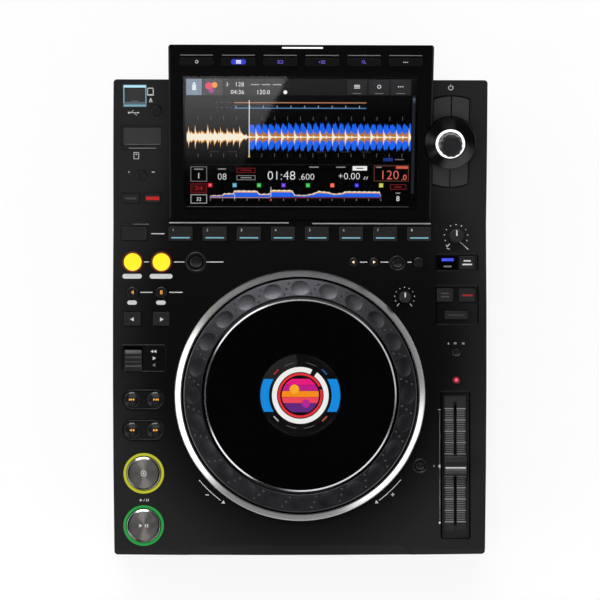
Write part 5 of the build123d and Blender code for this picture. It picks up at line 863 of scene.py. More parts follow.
for name, panel, place, marks, material, body, slot in (
        ("quantize_light", SHOULDER, QUANTIZE_AT, bars((0.0, 0.0, 12.0, 3.2)), RED_LIGHT, "quantize_key",
         "key_lit_red"),
        ("slip_light", SHOULDER, SLIP_AT, bars((0.0, 0.0, 9.6, 2.0)), DIM_KEY, "slip_key", "key_rubber"),
        ("beat_jump_back_sign", DECK, (LEFT_X, -14.4), [arrow(0.0, 0.0, 2.1, 180.0)], PRINT,
         "beat_jump_back_key", "key_rubber"),
        ("beat_jump_forward_sign", DECK, (RIGHT_X, -14.4), [arrow(0.0, 0.0, 2.1)], PRINT,
         "beat_jump_forward_key", "key_rubber"),
        ("master_sign", DECK, (148.35, 7.0), bars((0.0, 0.0, 9.4, 1.6)), DIM_RED, "master_key", "key_rubber"),
        ("beat_sync_sign", DECK, (128.65, SYNC_Y), bars((0.0, 1.5, 7.0, 1.1), (0.0, -1.5, 7.0, 1.1)), DIM,
         "beat_sync_key", "key_rubber"),
        ("key_sync_sign", DECK, (138.5, -10.5), bars((0.0, 0.0, 14.0, 0.7)), DIM, "key_sync_key",
         "key_rubber"),
        ("jog_mode_sign", DECK, (148.3, MODE_Y), bars((0.0, 1.6, 6.4, 1.3), (0.0, -1.6, 8.6, 1.3)), PRINT,
         "jog_mode_key", "key_rubber")):
    marked(name, panel, place, marks, material, body, slot, ON_KEY)
marked("call_key_ridge", DECK, (-146.4, PAD_Y), outlined(0.0, 0.0, 8.0, 8.0, 0.7), KEY, "call_delete_key",
       "key_rubber", (0.9, 1.2))

# A little window beside the jog mode key.
MODE_WINDOW_AT = (131.0, 35.9)
window_rings = [level(rounded_outline(18.6, 11.95, 0.6), z) for z in (-0.85, -0.15)]
settle(stacked("jog_mode_window", window_rings, DECK, MODE_WINDOW_AT, GLOSS), "case", "screen_glass")
marked("jog_mode_blue", DECK, MODE_WINDOW_AT, bars((0.0, 2.7, 10.6, 2.6)), MODE_LIGHT, "case", "screen_glass",
       (-0.2, -0.11))
marked("jog_mode_grey", DECK, MODE_WINDOW_AT, bars((0.0, -3.2, 7.0, 1.4)), FAINT, "case", "screen_glass",
       (-0.2, -0.12))

MENU_XS = [36.4 * (number - 2.5) for number in range(6)]
MENU_Y = 9.8
ring_sign, rows_sign = [arc(0, 0, 1.0, 1.5, 0.0, 359.9)], [bar(0, y, 4.4, 0.55) for y in (-1.1, 0.0, 1.1)]
tag_sign = outlined(0, 0, 4.6, 2.8, 0.5) + [disc(-1.2, 0.0, 0.4, 10)]
list_sign = [bar(0.8, y, 3.6, 0.5) for y in (-1.1, 0.0, 1.1)] + [arrow(-2.4, 0.0, 0.9)]
lens_sign = [arc(-0.5, 0.3, 0.9, 1.35, 0.0, 359.9), bar(1.1, -1.0, 1.8, 0.55, -40.0)]
dots_sign = [disc(x, 0.0, 0.5, 12) for x in (-1.6, 0.0, 1.6)]
MENU_SIGNS = ((ring_sign, PRINT), (rows_sign, WHITE_LIGHT), (tag_sign, VIOLET_LIGHT),
              (list_sign, VIOLET_LIGHT), (lens_sign, VIOLET_LIGHT), (dots_sign, PRINT))
MENU = ("menu_keys", "key_rubber")
for number, (x, (sign, material)) in enumerate(zip(MENU_XS, MENU_SIGNS)):
    key(f"menu_cap_{number + 1}", STRIP, (x, MENU_Y), (29.2, 7.0), DARK_KEY, *MENU, number == 0, -3.8, 0.6,
        0.3)
    marked(f"menu_sign_{number + 1}", STRIP, (x, MENU_Y), sign, material, *MENU, (0.3, 0.56))
marked("menu_glow", STRIP, (MENU_XS[1], MENU_Y), [pill(0.0, 0.0, 13.0, 4.6)], BLUE_LIGHT, *MENU, (0.2, 0.52))


# ---- Lever and fader cap -------------------------------------------------------------------------
def swept(name, outline, width, panel, at, material, body, slot, edge):
    """A side view (y, z) carried across the panel: the outline shrinks towards its middle by the
    edge's quarter circle at both ends, which rounds the ends over."""
    middle = outline.mean(0)
    reach = np.abs(outline - middle).max(0)
    turn = np.radians(np.linspace(0.0, 90.0, 4))
    half = [(width / 2 - edge * (1 - math.sin(t)), edge * (1 - math.cos(t))) for t in turn]
    stations = [(-x, inset) for x, inset in half[::-1]] + half
    count = len(outline)
    rings = [np.c_[np.full(count, x), middle + (outline - middle) * (1.0 - inset / reach)]
             for x, inset in stations]
    faces = [side[::-1] for side in grid_faces(len(rings), count, False, True)]
    faces += [list(range(count)), [(len(rings) - 1) * count + index for index in range(count)][::-1]]
    made = piece(name, panel.carry(np.array(rings), *at), faces, material, 40.0)
    bm = bmesh.new()
    bm.from_mesh(made.data)
    bmesh.ops.recalc_face_normals(bm, faces=bm.faces)
    bm.to_mesh(made.data)
    bm.free()
    return settle(made, body, slot, body)


LEVER_RADIUS, LEVER_DEPTH, LEVER_HALF = 25.5, 22.0, 21.39
HUB_RADIUS, RIB_HEIGHT, RIB_WIDTH = 4.0, 0.9, 1.5
LEVER = ("direction_lever", "key_grey")
lever_arc = np.radians(np.linspace(-LEVER_HALF, LEVER_HALF, 61))
from_rib = np.degrees(lever_arc)[:, None] - np.array((-10.1, 0.0, 10.1))
lever_rim = LEVER_RADIUS - RIB_HEIGHT * np.exp(-(from_rib / RIB_WIDTH) ** 2).sum(1)
lever_top = np.stack((lever_rim * np.sin(lever_arc), lever_rim * np.cos(lever_arc)), -1)
hub_arc = np.radians(np.linspace(90.0, 270.0, 13))
lever_hub = HUB_RADIUS * np.stack((np.sin(hub_arc), np.cos(hub_arc)), -1)
lever_side = np.concatenate((lever_top, lever_hub)) - (0.0, LEVER_DEPTH)
swept("direction_lever_drum", lever_side, 15.0, DECK, LEVER_AT, KNOB, *LEVER, 0.6)
pin_profile = [(0.0, -10.9), (1.4, -10.9), (1.5, -10.8), (1.5, 10.8), (1.4, 10.9), (0.0, 10.9)]
PIVOT = Panel((*LEVER_AT, DECK_TOP - LEVER_DEPTH), 0.0)
PIVOT.across, PIVOT.off = np.array((0.0, 0.0, -1.0)), np.array((1.0, 0.0, 0.0))
settle(turned("direction_lever_pin", pin_profile, PIVOT, HERE, PLATED, 32), *LEVER)

CAP_LOW, CAP_TOP, CAP_VALLEY, CAP_DIP = -0.3, 8.7, 2.4, 6.5
TEMPO = ("tempo_knob", "key_black")
dip = np.linspace(CAP_DIP, -CAP_DIP, 27)
saddle = np.stack((dip, CAP_TOP - CAP_VALLEY * (1 - (dip / CAP_DIP) ** 2)), -1)
cap_side = np.concatenate((
    [(9.7, CAP_LOW), (9.65, 0.4), (8.3, 8.2), (7.9, 8.62), (7.2, CAP_TOP)], saddle,
    [(-7.2, CAP_TOP), (-7.9, 8.62), (-8.3, 8.2), (-9.65, 0.4), (-9.7, CAP_LOW)]))
swept("tempo_cap", cap_side, 19.0, DECK, FADER_AT, KNOB, *TEMPO, 0.7)
stem_rings = [level(rounded_outline(1.4, 5.0, 0.3), z) for z in (-12.0, -0.2)]
settle(stacked("tempo_stem", stem_rings, DECK, FADER_AT, PLATED), *TEMPO)
marked("tempo_cap_line", DECK, FADER_AT, bars((0.0, -2.2, 17.8, 1.6)), PRINT, *TEMPO, (6.0, 6.68))


# ---- Feet, screws, jacks and the power button ----------------------------------------------------
REAR_Y, CASE_FOOT = 194.7, 8.0
REAR_WALL = Panel((0.0, REAR_Y, 0.0), -90.0)
UNDER = Panel((0.0, 0.0, CASE_FOOT), 180.0)
foot_profile = eased(
    [(0.0, 0.0), (15.0, 0.0), (15.0, 6.6), (13.4, 8.0), (9.6, 8.0), (9.2, 6.4), (4.2, 6.4), (3.8, 5.2),
     (0.0, 5.2)], 0.5)
for number, (x, y) in enumerate((x, y) for x in (-129.5, 129.5) for y in (-185.0, 164.7)):
    settle(turned(f"rubber_foot_{number + 1}", foot_profile, UNDER, (x, -y), FOOT, 96), "case", "foot_rubber",
           *(("rubber_feet",) if number == 0 else ()))


def cross_head(angle, radius, height):
    """A dished head with a cross: the middle sinks where |cos 2a| is near 1."""
    cross = (np.abs(np.cos(2 * angle)) > 0.86) & (radius < 2.3)
    return radius, np.where(cross, height - 0.9, height)


screw_profile = [(0.0, -0.1), (3.3, -0.1), (3.3, 0.5), (3.0, 1.1), (2.4, 1.4), (2.2, 1.45), (1.0, 1.5),
                 (0.0, 1.5)]
for number, (x, y) in enumerate((
        (-154.5, -212.5), (154.5, -212.5), (-156.5, -131.0), (156.5, -131.0), (-156.5, 77.0), (156.5, 77.0),
        (-123.5, 187.7), (151.5, 185.7))):
    settle(turned(f"case_screw_{number + 1}", screw_profile, UNDER, (x, -y), PLATED, 64, cross_head),
           "case", "supply_metal")
JACK_UP = -36.0
jack_profile = [(1.6, -0.5), (4.15, -0.5), (4.15, 8.6), (3.9, 9.0), (1.9, 9.0), (1.6, 8.7)]
collar_profile = [(1.6, -14.0), (5.4, -14.0), (5.4, 0.7), (5.2, 0.9), (4.6, 0.9), (4.3, 0.5), (1.6, 0.5)]
for number, x in enumerate((4.0, 48.0, 72.0)):
    settle(turned(f"jack_barrel_{number + 1}", jack_profile, REAR_WALL, (x, JACK_UP), GOLD, 64, None, True),
           "case", "jack_metal", *(("rca_jacks",) if number == 0 else ()))
    settle(turned(f"jack_collar_{number + 1}", collar_profile, REAR_WALL, (x, JACK_UP), SOCKET, 64, None,
                  True),
           "case", "jack_metal")
button("power_cap", REAR_WALL, (131.5, -72.0), 5.0, KNOB, "power_button", "key_black", rise=2.5, lift=1.0)


# ---- Light frame of the stick door ---------------------------------------------------------------
USB_AT, CARD_AT = (-145.2, 114.6), (-139.1, 78.5)
FRAME_OUT, FRAME_HOLE, FRAME_LOW, FRAME_TOP = (20.6, 19.5), (17.8, 12.9), -3.0, 0.45
frame_side = rounded_outline(*FRAME_OUT, 0.5)
frame_crest = rounded_outline(FRAME_OUT[0] - 0.4, FRAME_OUT[1] - 0.4, 0.5)
frame_hole = rounded_outline(*FRAME_HOLE, 0.3) + (0.0, 0.7)
frame_rings = [level(frame_side, FRAME_LOW), level(frame_side, FRAME_TOP - 0.2),
               level(frame_crest, FRAME_TOP), level(frame_hole, FRAME_TOP), level(frame_hole, FRAME_LOW)]
settle(looped("usb_light_frame", frame_rings, SHOULDER, USB_AT, USB_EDGE, 40.0), "case", "guide_clear",
       "light_guides")
marked("usb_light_top", SHOULDER, USB_AT, bars((0.0, 8.35, 19.6, 2.0)), USB_TOP, "case", "guide_clear",
       (0.3, 0.5))
marked("usb_light_rest", SHOULDER, USB_AT,
       bars((-9.6, 0.4, 0.7, 14.0), (9.6, 0.4, 0.7, 14.0), (0.0, -8.6, 19.2, 1.6)), USB_LIGHT, "case",
       "guide_clear", (0.3, 0.49))
# A painted highlight: the grey bar stands for light caught by the finger notch at the USB cover's lower edge.
marked("usb_notch_painted_highlight", SHOULDER, USB_AT, bars((0.0, -4.6, 6.4, 0.7)), FAINT, "usb_cover", "key_black",
       (-0.05, 0.04))
# A painted highlight: a thin grey line where light catches the card cover's lower edge.
marked("sd_cover_painted_highlight", SHOULDER, CARD_AT, bars((0.0, -7.1, 30.0, 0.35)), FAINT, "sd_cover", "key_black",
       (-0.85, -0.76))


# ---- Printed marks on the case -------------------------------------------------------------------
def printed(name, marks, material, between=ON_CASE, panel=DECK, slot="case_black"):
    """Marks on the case itself, drawn from the panel's own origin."""
    marked(name, panel, HERE, marks, material, "case", slot, between)


deck_lines = bars(
    (-62.9, 71.2, 105.8, 1.0), (63.75, 70.6, 105.7, 1.0), (-125.9, 61.4, 11.7, 0.8),
    (-135.9, LOOP_Y, 4.4, 0.8), (-107.0, LOOP_Y, 9.2, 0.8), (-75.4, LOOP_Y, 15.2, 0.8),
    (-135.8, 9.5, 10.8, 0.8), (-109.8, 9.5, 11.6, 0.8), (56.4, LOOP_Y, 6.6, 0.8), (75.0, LOOP_Y, 6.9, 0.8),
    (97.1, LOOP_Y, 3.6, 0.8))
deck_pills = [pill(-148.5, 23.7, 17.1, 4.2), pill(-123.0, 23.7, 20.1, 4.2), pill(-148.5, 0.4, 8.5, 3.8),
              pill(-123.0, 0.4, 8.5, 3.8)]

# Arrows that curve along the jog ring, either side of the front.
TURN_RADIUS, TURN_TIP = 116.3, 35.6
jog_signs = [arc(*JOG_AT, 116.0, 116.6, start, start + 13.1, 40) for start in (219.9, 307.0)]
for side in (-1, 1):
    tip = math.radians(270.0 + side * TURN_TIP)
    jog_signs.append(arrow(TURN_RADIUS * math.cos(tip), JOG_AT[1] + TURN_RADIUS * math.sin(tip), 1.9,
                           270.0 + side * (TURN_TIP - 90.0)))
jog_signs += bars((-82.0, -169.4, 3.0, 0.8), (82.0, -169.4, 3.0, 0.8), (82.0, -169.4, 0.8, 3.0))
direction_signs = [arrow(-130.6, -42.8, 1.7, 180.0), arrow(-127.8, -42.8, 1.7, 180.0),
                   arrow(-129.3, -48.8, 2.0)]
play_signs = [arrow(-140.6, -174.0, 1.4)]
play_signs += bars((-137.6, -174.0, 0.5, 2.4, -20.0), (-135.4, -174.0, 0.6, 2.3), (-134.0, -174.0, 0.6, 2.3))
printed("deck_print", deck_lines + deck_pills + jog_signs + direction_signs + play_signs, PRINT)


def dial_marks(at, radius, size):
    """Nine dots over 224 degrees about a knob, with a stroke at each end of its 280 degrees."""
    low, high, gap = -50.0, 230.0, 28.0
    marks = [disc(at[0] + radius * math.cos(a), at[1] + radius * math.sin(a), size, 12)
             for a in np.radians(np.linspace(low + gap, high - gap, 9))]
    for degrees in (high, low):
        a = math.radians(degrees)
        marks.append(bar(at[0] + radius * math.cos(a), at[1] + radius * math.sin(a), 3.0, 0.7, degrees))
    return marks


curve_signs = bars((130.2, 51.0, 2.2, 0.6, -60.0), (131.6, 48.4, 2.6, 0.6, -20.0),
                   (144.0, 52.6, 4.6, 0.6, -38.0), (147.6, 49.4, 4.8, 0.6, -44.0))
knob_marks = curve_signs + dial_marks(JOG_KNOB_AT, 8.8, 0.45) + dial_marks(SPEED_KNOB_AT, 10.3, 0.5)
SCALE_X = 123.8
tempo_signs = [bar(SCALE_X, y, 0.55, 0.55) for y in np.arange(-97.0, -192.0, -2.05)]
tempo_signs += [bar(SCALE_X, -94.4, 2.2, 0.7), disc(SCALE_X, -194.2, 1.0),
                bar(SCALE_X, -144.2, 2.2, 2.2, 45.0)]
figures_printed = [("6", 131.6, -35.6, 2.9), ("10", 137.4, -35.6, 2.9), ("16", 144.6, -35.6, 2.9),
                   ("0", 118.6, -144.2, 2.4)]
printed("deck_scale", knob_marks + tempo_signs + figures_printed, PRINT)
printed("deck_faint_print", outlined(-141.0, 71.8, 14.0, 4.4, 0.6) + [arrow(-128.9, -54.8, 1.9, 180.0)]
        + bars((-152.2, 71.8, 4.0, 0.6), (-131.0, 71.8, 4.0, 0.6)), FAINT)

# The fader's scale: a long stroke every ten millimetres and four short ones between, on two strips.
SCALE_TOP, STRIP_XS, FADER_FLOOR = -93.4, (132.1, 142.9), -0.83
majors = [bar(x, SCALE_TOP - 10.0 * step, 7.9, 0.9) for step in range(11) for x in STRIP_XS]
minors = [bar(x, SCALE_TOP - 2.0 * step, 7.0, 0.8) for step in range(51) if step % 5 for x in (132.5, 142.5)]
strips = [bar(x, -141.6, 7.9, 118.8) for x in STRIP_XS] + [bar(137.5, -84.7, 2.9, 5.0)]
printed("fader_strips", strips, FADER_STRIP, (FADER_FLOOR, -0.785))
printed("fader_majors", majors, FADER_PRINT, (FADER_FLOOR, -0.76))
printed("fader_minors", minors, FADER_FAINT, (FADER_FLOOR, -0.77))

shoulder_print = bars(
    (-131.6, 121.3, 5.0, 0.8), (-134.1, 117.9, 0.8, 6.0), (-129.1, 117.9, 0.8, 6.0),
    (-131.6, 115.4, 6.2, 1.2), (-131.4, 109.4, 3.0, 0.6), (-146.6, 99.6, 8.0, 0.5),
    (-147.6, 101.0, 2.8, 0.4, 40.0), (-144.8, 98.2, 2.8, 0.4, -40.0), (-129.6, 46.8, 2.6, 0.8),
    (131.5, 124.0, 0.6, 2.4))
shoulder_print += [
    arrow(-131.4, 111.2, 1.6, 90.0), disc(-150.6, 99.6, 0.9), arrow(-142.4, 99.6, 1.0),
    disc(-151.0, 46.8, 0.6), arrow(-144.4, 62.6, 0.9, 90.0), arc(131.5, 122.4, 1.7, 2.3, -235.0, 55.0)]
shoulder_print += outlined(-144.4, 61.4, 4.6, 6.2, 0.5)
printed("shoulder_print", shoulder_print, PRINT, panel=SHOULDER)
# A painted highlight: the grey bar stands for light caught by the finger scoop below the card cover.
marked("card_recess_painted_highlight", SHOULDER, (-139.1, 67.9), bars((0.0, 0.0, 24.0, 0.8)), FAINT, "case", "case_black",
       (FADER_FLOOR, -0.75))
printed("menu_lines", [bar(x, 15.6, 28.6, 0.7) for x in MENU_XS], FAINT, ON_CASE, STRIP, "housing_black")
printed("rear_light_bar", bars((1.0, 22.2, 35.5, 1.3)), WHITE_LIGHT, (-0.02, 0.04), STRIP, "housing_black")


# ---- Screen --------------------------------------------------------------------------------------
# Everything is drawn from the screen face's lower left corner, on the face, under the glass.
LCD_AT = (-100.1, 11.95)
FACE, FIRST, STEP = -2.12, 0.03, 0.02
SLATE, STONE = (0.009, 0.009, 0.010), (0.10, 0.10, 0.11)
CREAM, AMBER, OCEAN, OCHRE = (0.95, 0.88, 0.72), (0.86, 0.36, 0.03), (0.01, 0.13, 0.86), (0.50, 0.19, 0.02)
MAROON, RUST = (0.22, 0.01, 0.015), (0.86, 0.16, 0.12)


def screen_layer(name, layer, *groups):
    """Coloured marks on the screen, in groups of a colour and its marks. A higher layer covers a
    lower one."""
    marks = [pair for colour, group in groups for pair in coloured(colour, group)]
    marked("screen_" + name, SCREEN, LCD_AT, marks, LIGHT_MARK, "case", "screen_panel",
           (FACE, FACE + FIRST + STEP * layer), True)


def envelope(start, stop, height):
    """A band either side of the wave's level: the outline runs out along the bottom and back along
    the top. height is a function of the distance from the left edge."""
    u = np.linspace(start, stop, int((stop - start) / 0.25) + 2)
    h = np.maximum(height(u), 0.12)
    return np.concatenate((np.stack((u, LEVEL - h), -1), np.stack((u, LEVEL + h), -1)[::-1]))


def ripple(u, seed):
    """An even wander between 0 and 1: three sine waves of unrelated lengths, folded by their sum."""
    wave = np.sin(u * 1.93 + seed) + np.sin(u * 0.71 + 2.3 * seed) + np.sin(u * 4.7 + 0.6 * seed)
    return 0.5 + wave / 6.0


def decay(u, origin, pitch, sharp):
    """Spikes every pitch that die away to the right: exp(-sharp times the distance since the spike)."""
    return np.exp(-sharp * ((u - origin) % pitch))


BEAT, PLAYHEAD, WAVE_END, LEVEL = 11.2, 54.9, 197.0, 61.9
ICONS = ((149.0, rows_sign), (168.4, ring_sign), (187.2, dots_sign))
screen_layer("header", 0, (SLATE, bars((98.4, 106.4, 196.8, 14.4))),
             (STONE, bars((54.0, -0.9, 108.0, 0.5), (152.0, -0.9, 88.0, 0.5))))
screen_layer(
    "cells", 1, ((0.20, 0.26, 0.34), bars((6.7, 106.4, 13.4, 14.4))),
    ((0.045, 0.045, 0.052), bars((22.4, 106.4, 18.0, 14.4))),
    ((0.021, 0.021, 0.023), [bar(u, 106.6, 17.0, 13.4) for u, _ in ICONS]),
    ((0.012, 0.014, 0.018), bars((199.0, 55.0, 2.6, 88.0))),
    ((0.12, 0.17, 0.20), bars((199.2, 92.5, 2.2, 9.0))))
header_icons = [mark * 1.15 + (u, 107.0) for u, sign in ICONS for mark in sign]
screen_layer(
    "header_signs", 2, ((0.75, 0.80, 0.86), bars((6.8, 106.0, 3.4, 5.0), (6.8, 109.6, 2.0, 1.8))),
    ((0.30, 0.36, 0.44), bars((6.8, 101.4, 5.6, 0.7))), ((0.75, 0.05, 0.12), [disc(19.6, 107.4, 3.2)]),
    ((0.86, 0.32, 0.03), [disc(24.6, 108.2, 2.6)]), ((0.42, 0.03, 0.30), [disc(21.8, 103.6, 2.4)]),
    (0.8, [("3", 35.6, 108.6, 4.6), ("128", 46.4, 108.6, 5.4)]),
    (0.85, [("04:36", 44.6, 101.8, 5.4), ("120.0", 67.0, 101.8, 5.4)]), (0.9, [disc(86.4, 101.9, 1.7)]),
    (0.55, [bar(u, 108.6, 7.4, 0.7) for u in (60.0, 69.6, 79.2)]), (0.8, header_icons),
    (0.30, [bar(u, 100.9, 7.4, 0.4) for u, _ in ICONS]))
SHORT_XS = (27.0, 31.0, 35.4, 39.0)
screen_layer(
    "lines", 0, ((0.45, 0.20, 0.10), bars((99.6, 92.6, 115.4, 0.9))),
    ((0.08, 0.22, 0.42), bars((99.6, 87.7, 115.4, 0.9))),
    ((0.22, 0.10, 0.05), [bar(u, 92.8, 1.6, 0.5) for u in SHORT_XS]),
    ((0.05, 0.12, 0.24), [bar(u, 88.0, 1.6, 0.5) for u in SHORT_XS]),
    ((0.45, 0.52, 0.62), [bar(43.4 + 12.0 * step, 88.9, 0.5, 2.2) for step in range(10)]),
    (0.16, [bar(u, v, 0.35, 3.4) for u in np.arange(PLAYHEAD - 4 * BEAT, 196.0, BEAT) for v in (78.6, 45.5)]),
    (0.07, [bar(u, 48.7, 8.0, 0.3) for u in (24.0, 40.0, 118.0, 140.0, 158.0)]),
    (0.02, bars((98.0, 37.2, 197.0, 0.3))))


def spiky(u, low, high, seed):
    """A jagged level: a ripple with two trains of sharp spikes of unrelated pitch, each of uneven
    height. It falls to a tenth just before the playhead."""
    fall_from = 46.0
    beats = decay(u, 0.6 + seed, BEAT / 2, 1.3) * (0.35 + ripple(u * 0.37, seed))
    between = 0.7 * decay(u, 2.9 + seed, 3.4, 1.5) * ripple(u * 0.9, seed)
    jagged = low + 0.7 * ripple(u * 1.4, seed) + (high - low) * np.clip(beats + between, 0.0, 1.0)
    return jagged * (1.0 - 0.9 * np.clip((u - fall_from) / (PLAYHEAD - fall_from), 0.0, 1.0))


def lump(u):
    """Two lumps a beat: a steep rise to the power 0.4 over a sixth, a flat, a slanting fall."""
    phase = ((u - PLAYHEAD) / (BEAT / 2)) % 1.0
    return np.clip(phase / 0.16, 0.0, 1.0) ** 0.4 * np.clip((1.0 - phase) / 0.45, 0.0, 1.0) ** 0.45


def coming_low(u):
    """The wave ahead of the playhead: its low part, in lumps."""
    return (3.4 + 8.6 * lump(u)) * (0.80 + 0.34 * ripple(u * 1.5, 0.4))


def coming_middle(u):
    """The middle part: a ripple and spikes at every half beat."""
    return 1.2 + 4.4 * ripple(u * 1.6, 3.0) + 5.5 * decay(u, 60.4, BEAT / 2, 1.6) * ripple(u, 1.0)


def coming_high(u):
    """The high part: thin spikes at every beat."""
    return 0.45 + 8.4 * decay(u, 60.6, BEAT, 1.1) + 2.2 * decay(u, 55.0, BEAT, 1.8)


screen_layer("wave_low", 1, (OCEAN, [envelope(PLAYHEAD, WAVE_END, coming_low)]),
             (AMBER, [envelope(0.2, PLAYHEAD, lambda u: spiky(u, 3.1, 10.6, 1.0))]))
screen_layer("wave_middle", 2, (OCHRE, [envelope(PLAYHEAD, WAVE_END, coming_middle)]),
             (CREAM, [envelope(0.2, PLAYHEAD, lambda u: spiky(u, 2.0, 8.6, 1.0))]))
screen_layer("wave_high", 3, (CREAM, [envelope(PLAYHEAD, WAVE_END, coming_high)]))
screen_layer("playhead", 3, (0.8, bars((PLAYHEAD, 69.4, 0.7, 51.0))),
             ((0.85, 0.62, 0.10), [arrow(PLAYHEAD, 44.6, 1.3, 90.0)]))
screen_layer(
    "boxes", 0, (0.22, outlined(10.6, 28.6, 14.4, 13.6, 0.5)),
    ((0.20, 0.008, 0.012), outlined(10.6, 15.8, 14.4, 8.6, 0.5)), (0.45, outlined(10.6, 6.1, 14.4, 8.2, 0.6)),
    ((0.03, 0.002, 0.003), bars((10.6, 15.8, 13.4, 7.6))),
    (MAROON, outlined(52.2, 32.0, 16.4, 4.4, 0.45) + bars((52.2, 32.0, 9.6, 0.9))),
    (0.28, outlined(52.2, 25.4, 16.4, 4.2, 0.45) + bars((52.2, 25.4, 9.6, 0.9))),
    (0.85, bars((152.4, 34.0, 12.8, 4.0))), ((0.16, 0.045, 0.030), outlined(180.2, 29.4, 30.6, 14.2, 0.5)),
    ((0.60, 0.11, 0.05), bars((189.6, 35.0, 10.6, 2.8))), ((0.01, 0.03, 0.20), bars((177.0, 41.9, 8.4, 3.0))),
    (0.18, bars((187.2, 41.9, 8.0, 0.7))), ((0.22, 0.02, 0.02), outlined(186.4, 17.2, 13.9, 4.5, 0.4)))
CUE_COLOURS = ((0.75, 0.02, 0.05), (0.10, 0.42, 0.62), (0.03, 0.52, 0.06), (0.16, 0.03, 0.72),
               (0.03, 0.52, 0.06), (0.85, 0.13, 0.05), (0.03, 0.02, 0.80), (0.62, 0.62, 0.08))
CUE_XS = [20.6 + 21.54 * number for number in range(len(CUE_COLOURS))]
CUE_UP = 18.6
screen_layer(
    "readings", 1, (0.75, [("1", 10.6, 26.9, 7.2), ("08", 31.2, 26.0, 8.4)]),
    ((0.42, 0.012, 0.02), [("3/4", 10.6, 15.6, 5.2)]), (0.8, [("32", 10.6, 5.8, 4.6)]),
    (0.86, [("01:48", 83.4, 27.0, 11.4), (".600", 105.6, 26.0, 8.2), ("+0.00", 143.0, 26.6, 8.6),
            ("8", 186.4, 6.4, 6.4)]),
    (RUST, [("120", 178.6, 27.6, 11.6), (".0", 191.4, 25.6, 7.0)]),
    (0.35, bars((10.6, 33.0, 8.0, 0.8), (31.0, 33.2, 7.0, 0.8), (112.0, 35.0, 8.2, 0.8),
                (135.6, 35.0, 8.0, 0.8), (169.2, 35.0, 4.6, 0.8), (186.4, 11.6, 4.0, 0.8))),
    ((0.22, 0.02, 0.02), bars((186.4, 17.2, 6.4, 0.8))), (0.02, bars((152.4, 34.0, 6.0, 0.8))),
    (0.5, bars((156.6, 25.2, 0.8, 3.0, -25.0), (158.8, 25.2, 0.8, 3.0, -25.0))),
    *((colour, [bar(u, CUE_UP, 3.6, 3.6)]) for u, colour in zip(CUE_XS, CUE_COLOURS)))
screen_layer("cue_centres", 2, *(
    (tuple(0.3 + 0.6 * part for part in colour), [bar(u, CUE_UP, 1.3, 1.3)])
    for u, colour in zip(CUE_XS, CUE_COLOURS)))

# The whole track, above a base line: its height at the corners of the ramps between them.
BASE_LINE = 8.0
TRACK = np.array((
    (20, 0.6), (31, 0.7), (33, 2.2), (41, 2.4), (42, 4.6), (62, 4.4), (64, 1.8), (73, 2.0), (74, 5.0),
    (93, 4.8), (95, 1.2), (104, 0.8), (112, 2.4), (116, 4.2), (124, 3.6), (130, 2.0), (137, 2.6), (140, 4.0),
    (170, 3.8), (171.4, 0.4)))


def overview(scale, lift, seed):
    """The outline of the whole track above its base line: the ramps, scaled, with a small ripple."""
    u = np.linspace(20.6, 171.4, 420)
    height = np.maximum(np.interp(u, *TRACK.T) * scale + lift * ripple(u * 2.0, seed), 0.3)
    top = np.stack((u, BASE_LINE + height), -1)
    return np.concatenate(([(u[0], BASE_LINE), (u[-1], BASE_LINE)], top[::-1]))


screen_layer("track_top", 0, (CREAM, [overview(1.12, 1.3, 5.0)]))
screen_layer("track_warm", 1, (AMBER, [overview(1.0, 0.7, 7.0)]))
screen_layer("track_body", 2, (OCEAN, [overview(0.84, 0.25, 9.0)]))
screen_layer(
    "track_marks", 3, ((0.55, 0.30, 0.34), bars((47.0, 7.4, 54.0, 0.7))),
    ((0.25, 0.03, 0.04), bars((122.6, 7.4, 97.6, 0.6))), ((0.75, 0.05, 0.05), [arrow(74.0, 5.2, 1.1, 90.0)]),
    (0.75, bars((74.2, 12.6, 0.5, 9.0), (42.2, 8.4, 0.4, 5.0))),
    (0.4, [bar(20.8 + 10.75 * step, 5.4, 0.35, 1.9) for step in range(15)]))


# ---- Finishes of the pieces that keep their shape ------------------------------------------------
FINISHES = {
    "top_panel": CASE, "bottom_chassis": CHASSIS, "display_housing": HOUSING, "display_glass": GLASS,
    "lcd_module": LCD, "jog_center_display": DISPLAY, "jog_base": FRAME, "jog_bush": BUSH,
    "selector_shaft": PLATED, "browse_keys": SOFT, "usb_cover": SOFT, "sd_cover": SOFT,
    "data_sockets": PLATED, "ac_inlet": SOCKET, "main_board": BOARD, "switch_boards": BOARD,
    "power_supply": PLATED, "tempo_fader": SOCKET}
for name, finish in FINISHES.items():
    for slot in NODES[name].material_slots:
        slot.material = finish


# ---- Floor, light and camera ---------------------------------------------------------------------
def studio_floor():
    """A wide pale plane. Seen by the eye, or in gloss or glass, most of it glows plain white and the
    rest is a matt white that keeps the shadow."""
    size, glowing, glow_strength = 12.0, 0.75, 1.14
    mesh = bpy.data.meshes.new("studio_floor")
    corners = [(-size, -size, 0.0), (size, -size, 0.0), (size, size, 0.0), (-size, size, 0.0)]
    mesh.from_pydata(corners, [], [(0, 1, 2, 3)])
    material = surface("studio_floor", Base_Color=(0.86, 0.86, 0.86, 1.0), Roughness=0.9)
    tree = material.node_tree
    path = node(tree, "LightPath").outputs
    total = path["Is Camera Ray"]
    for other in ("Is Glossy Ray", "Is Transmission Ray"):
        add = node(tree, "Math", {0: total, 1: path[other]}, "ADD")
        add.use_clamp = True
        total = add.outputs[0]
    share = node(tree, "Math", {0: total, 1: glowing}, "MULTIPLY")
    glow = node(tree, "Emission", {"Strength": glow_strength})
    mix = node(tree, "MixShader", {
        "Fac": share.outputs[0], 1: shader_of(material).outputs[0], 2: glow.outputs[0]})
    fill(tree, tree.nodes["Material Output"], {"Surface": mix.outputs[0]})
    placed("studio_floor", mesh, material)


